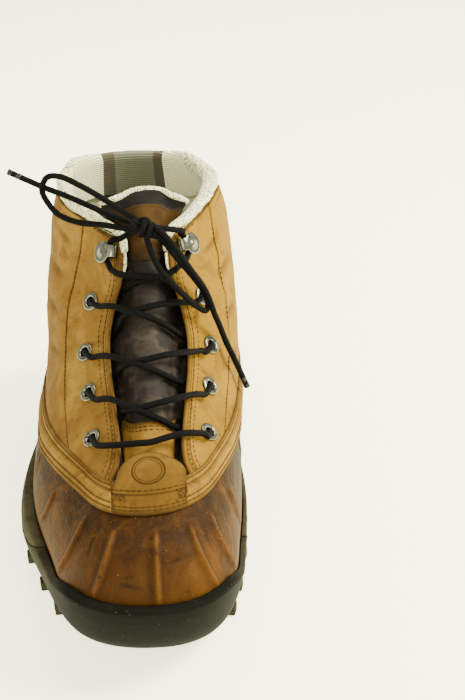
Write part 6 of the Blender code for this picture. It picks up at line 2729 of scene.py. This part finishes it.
    def lugs(self) -> Mesh:
        """The lugs, each a block that is narrow at its tip, with rounded edges."""
        blocks = []
        box = [(0, 3, 2, 1), (4, 5, 6, 7), (0, 1, 5, 4), (1, 2, 6, 5), (2, 3, 7, 6), (3, 0, 4, 7)]
        for side, places in ((Side.LATERAL, self.lateral_lugs), (Side.MEDIAL, self.medial_lugs)):
            for y in places:
                tip = self.tip_at(y, side) * (1, 1, 0)
                inner = np.array([side.value * self.lug_inner - 3, y + self.lug_sweep, 0.0])
                outward = unit(tip - inner)
                across = np.array([-outward[1], outward[0], 0.0])
                stand = self.first_stand if y == places[0] else self.lug_stand
                end = tip + outward * stand
                plan = [inner - across * self.lug_width / 2, inner + across * self.lug_width / 2]
                plan += [end + across * self.lug_tip_width / 2, end - across * self.lug_tip_width / 2]
                points = [(p[0], p[1], z) for z in (0.0, self.lug_top) for p in plan]
                blocks.append(Shape(np.array(points), box).turned_out())
        return bevelled(joined(blocks).mesh("lugs"), self.lug_round, 2, 30)

    def build(self, outsole: Material, midsole: Material) -> None:
        """Makes outsole and midsole."""
        lugged = [("UNION", self.lugs()), ("DIFFERENCE", self.prism(0.0))]
        self.part("outsole", combined(self.form(self.proud), lugged), outsole)
        self.part("midsole", combined(self.form(0.0), [("INTERSECT", self.prism(0.3))]), midsole)

    def part(self, node: str, mesh: Mesh, rubber: Material) -> None:
        """Makes the rubber piece that takes a node's place."""
        mesh.shade_smooth()
        mesh.set_sharp_from_angle(angle=math.radians(self.sharp))
        name = f"{node}_rubber"
        piece(name, mesh, rubber, name, node)


def dress_footbed(finish: Material) -> None:
    """Gives the footbed its cloth."""
    footbed = bpy.data.objects["insole"]
    footbed.data.materials.clear()
    footbed.data.materials.append(finish)


# --- The boot ---


def main() -> None:
    """Builds the scene: camera, cords, then every piece in order."""
    logging.basicConfig(level=logging.INFO, format="%(name)s: %(message)s")
    last = Last()
    tongue_form = TongueForm(last)
    Studio().build()
    log.info("studio ready")
    LaceWork(last, tongue_form).build()
    log.info("laces ready")
    thread, cloth, nickel = ThreadFinish().make(), ClothFinish().make(), NickelFinish().make()
    eyelets, quarters, band, tab = Eyelets(last), Quarters(last), Band(last), Tab(last)
    Vamp(last).build(OiledLeatherFinish().make())
    quarters.build(QuarterFinish().make(), eyelets.drills())
    Lining(last).build(cloth, eyelets.drills())
    band_leather = BandFinish().make()
    band.build(band_leather)
    tab.build(TabFinish().make())
    log.info("leather ready")
    sewing = Stitching(last)
    sewing.build("stitches_quarters", quarters.seams(), thread)
    tongue = Tongue(last, tongue_form)
    sewing.build("stitches_band", [*band.seams(), *tab.seams(), *tongue.seams()], thread)
    log.info("stitches ready")
    leather, panel = SmoothLeatherFinish().make(), PanelFinish().make()
    tongue.build({"leather": leather, "tan": band_leather, "panel": panel, "knit": cloth})
    Cuff(last).build(cloth)
    eyelets.build(nickel)
    Hooks(last).build(nickel)
    Sole(last).build(RubberFinish("outsole_rubber").make(), RubberFinish("midsole_rubber", dusty=0.8).make())
    dress_footbed(FoamFinish().make())
    log.info("sole ready")
    {"cad": plain(cad_box), "visual": plain(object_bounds())}


def plain(box: Any) -> Any:
    """A box as nested lists of numbers."""
    if hasattr(box, "tolist"):
        return box.tolist()
    if isinstance(box, (int, float)):
        return float(box)
    return [plain(part) for part in box]


if __name__ == "__main__":
    main()
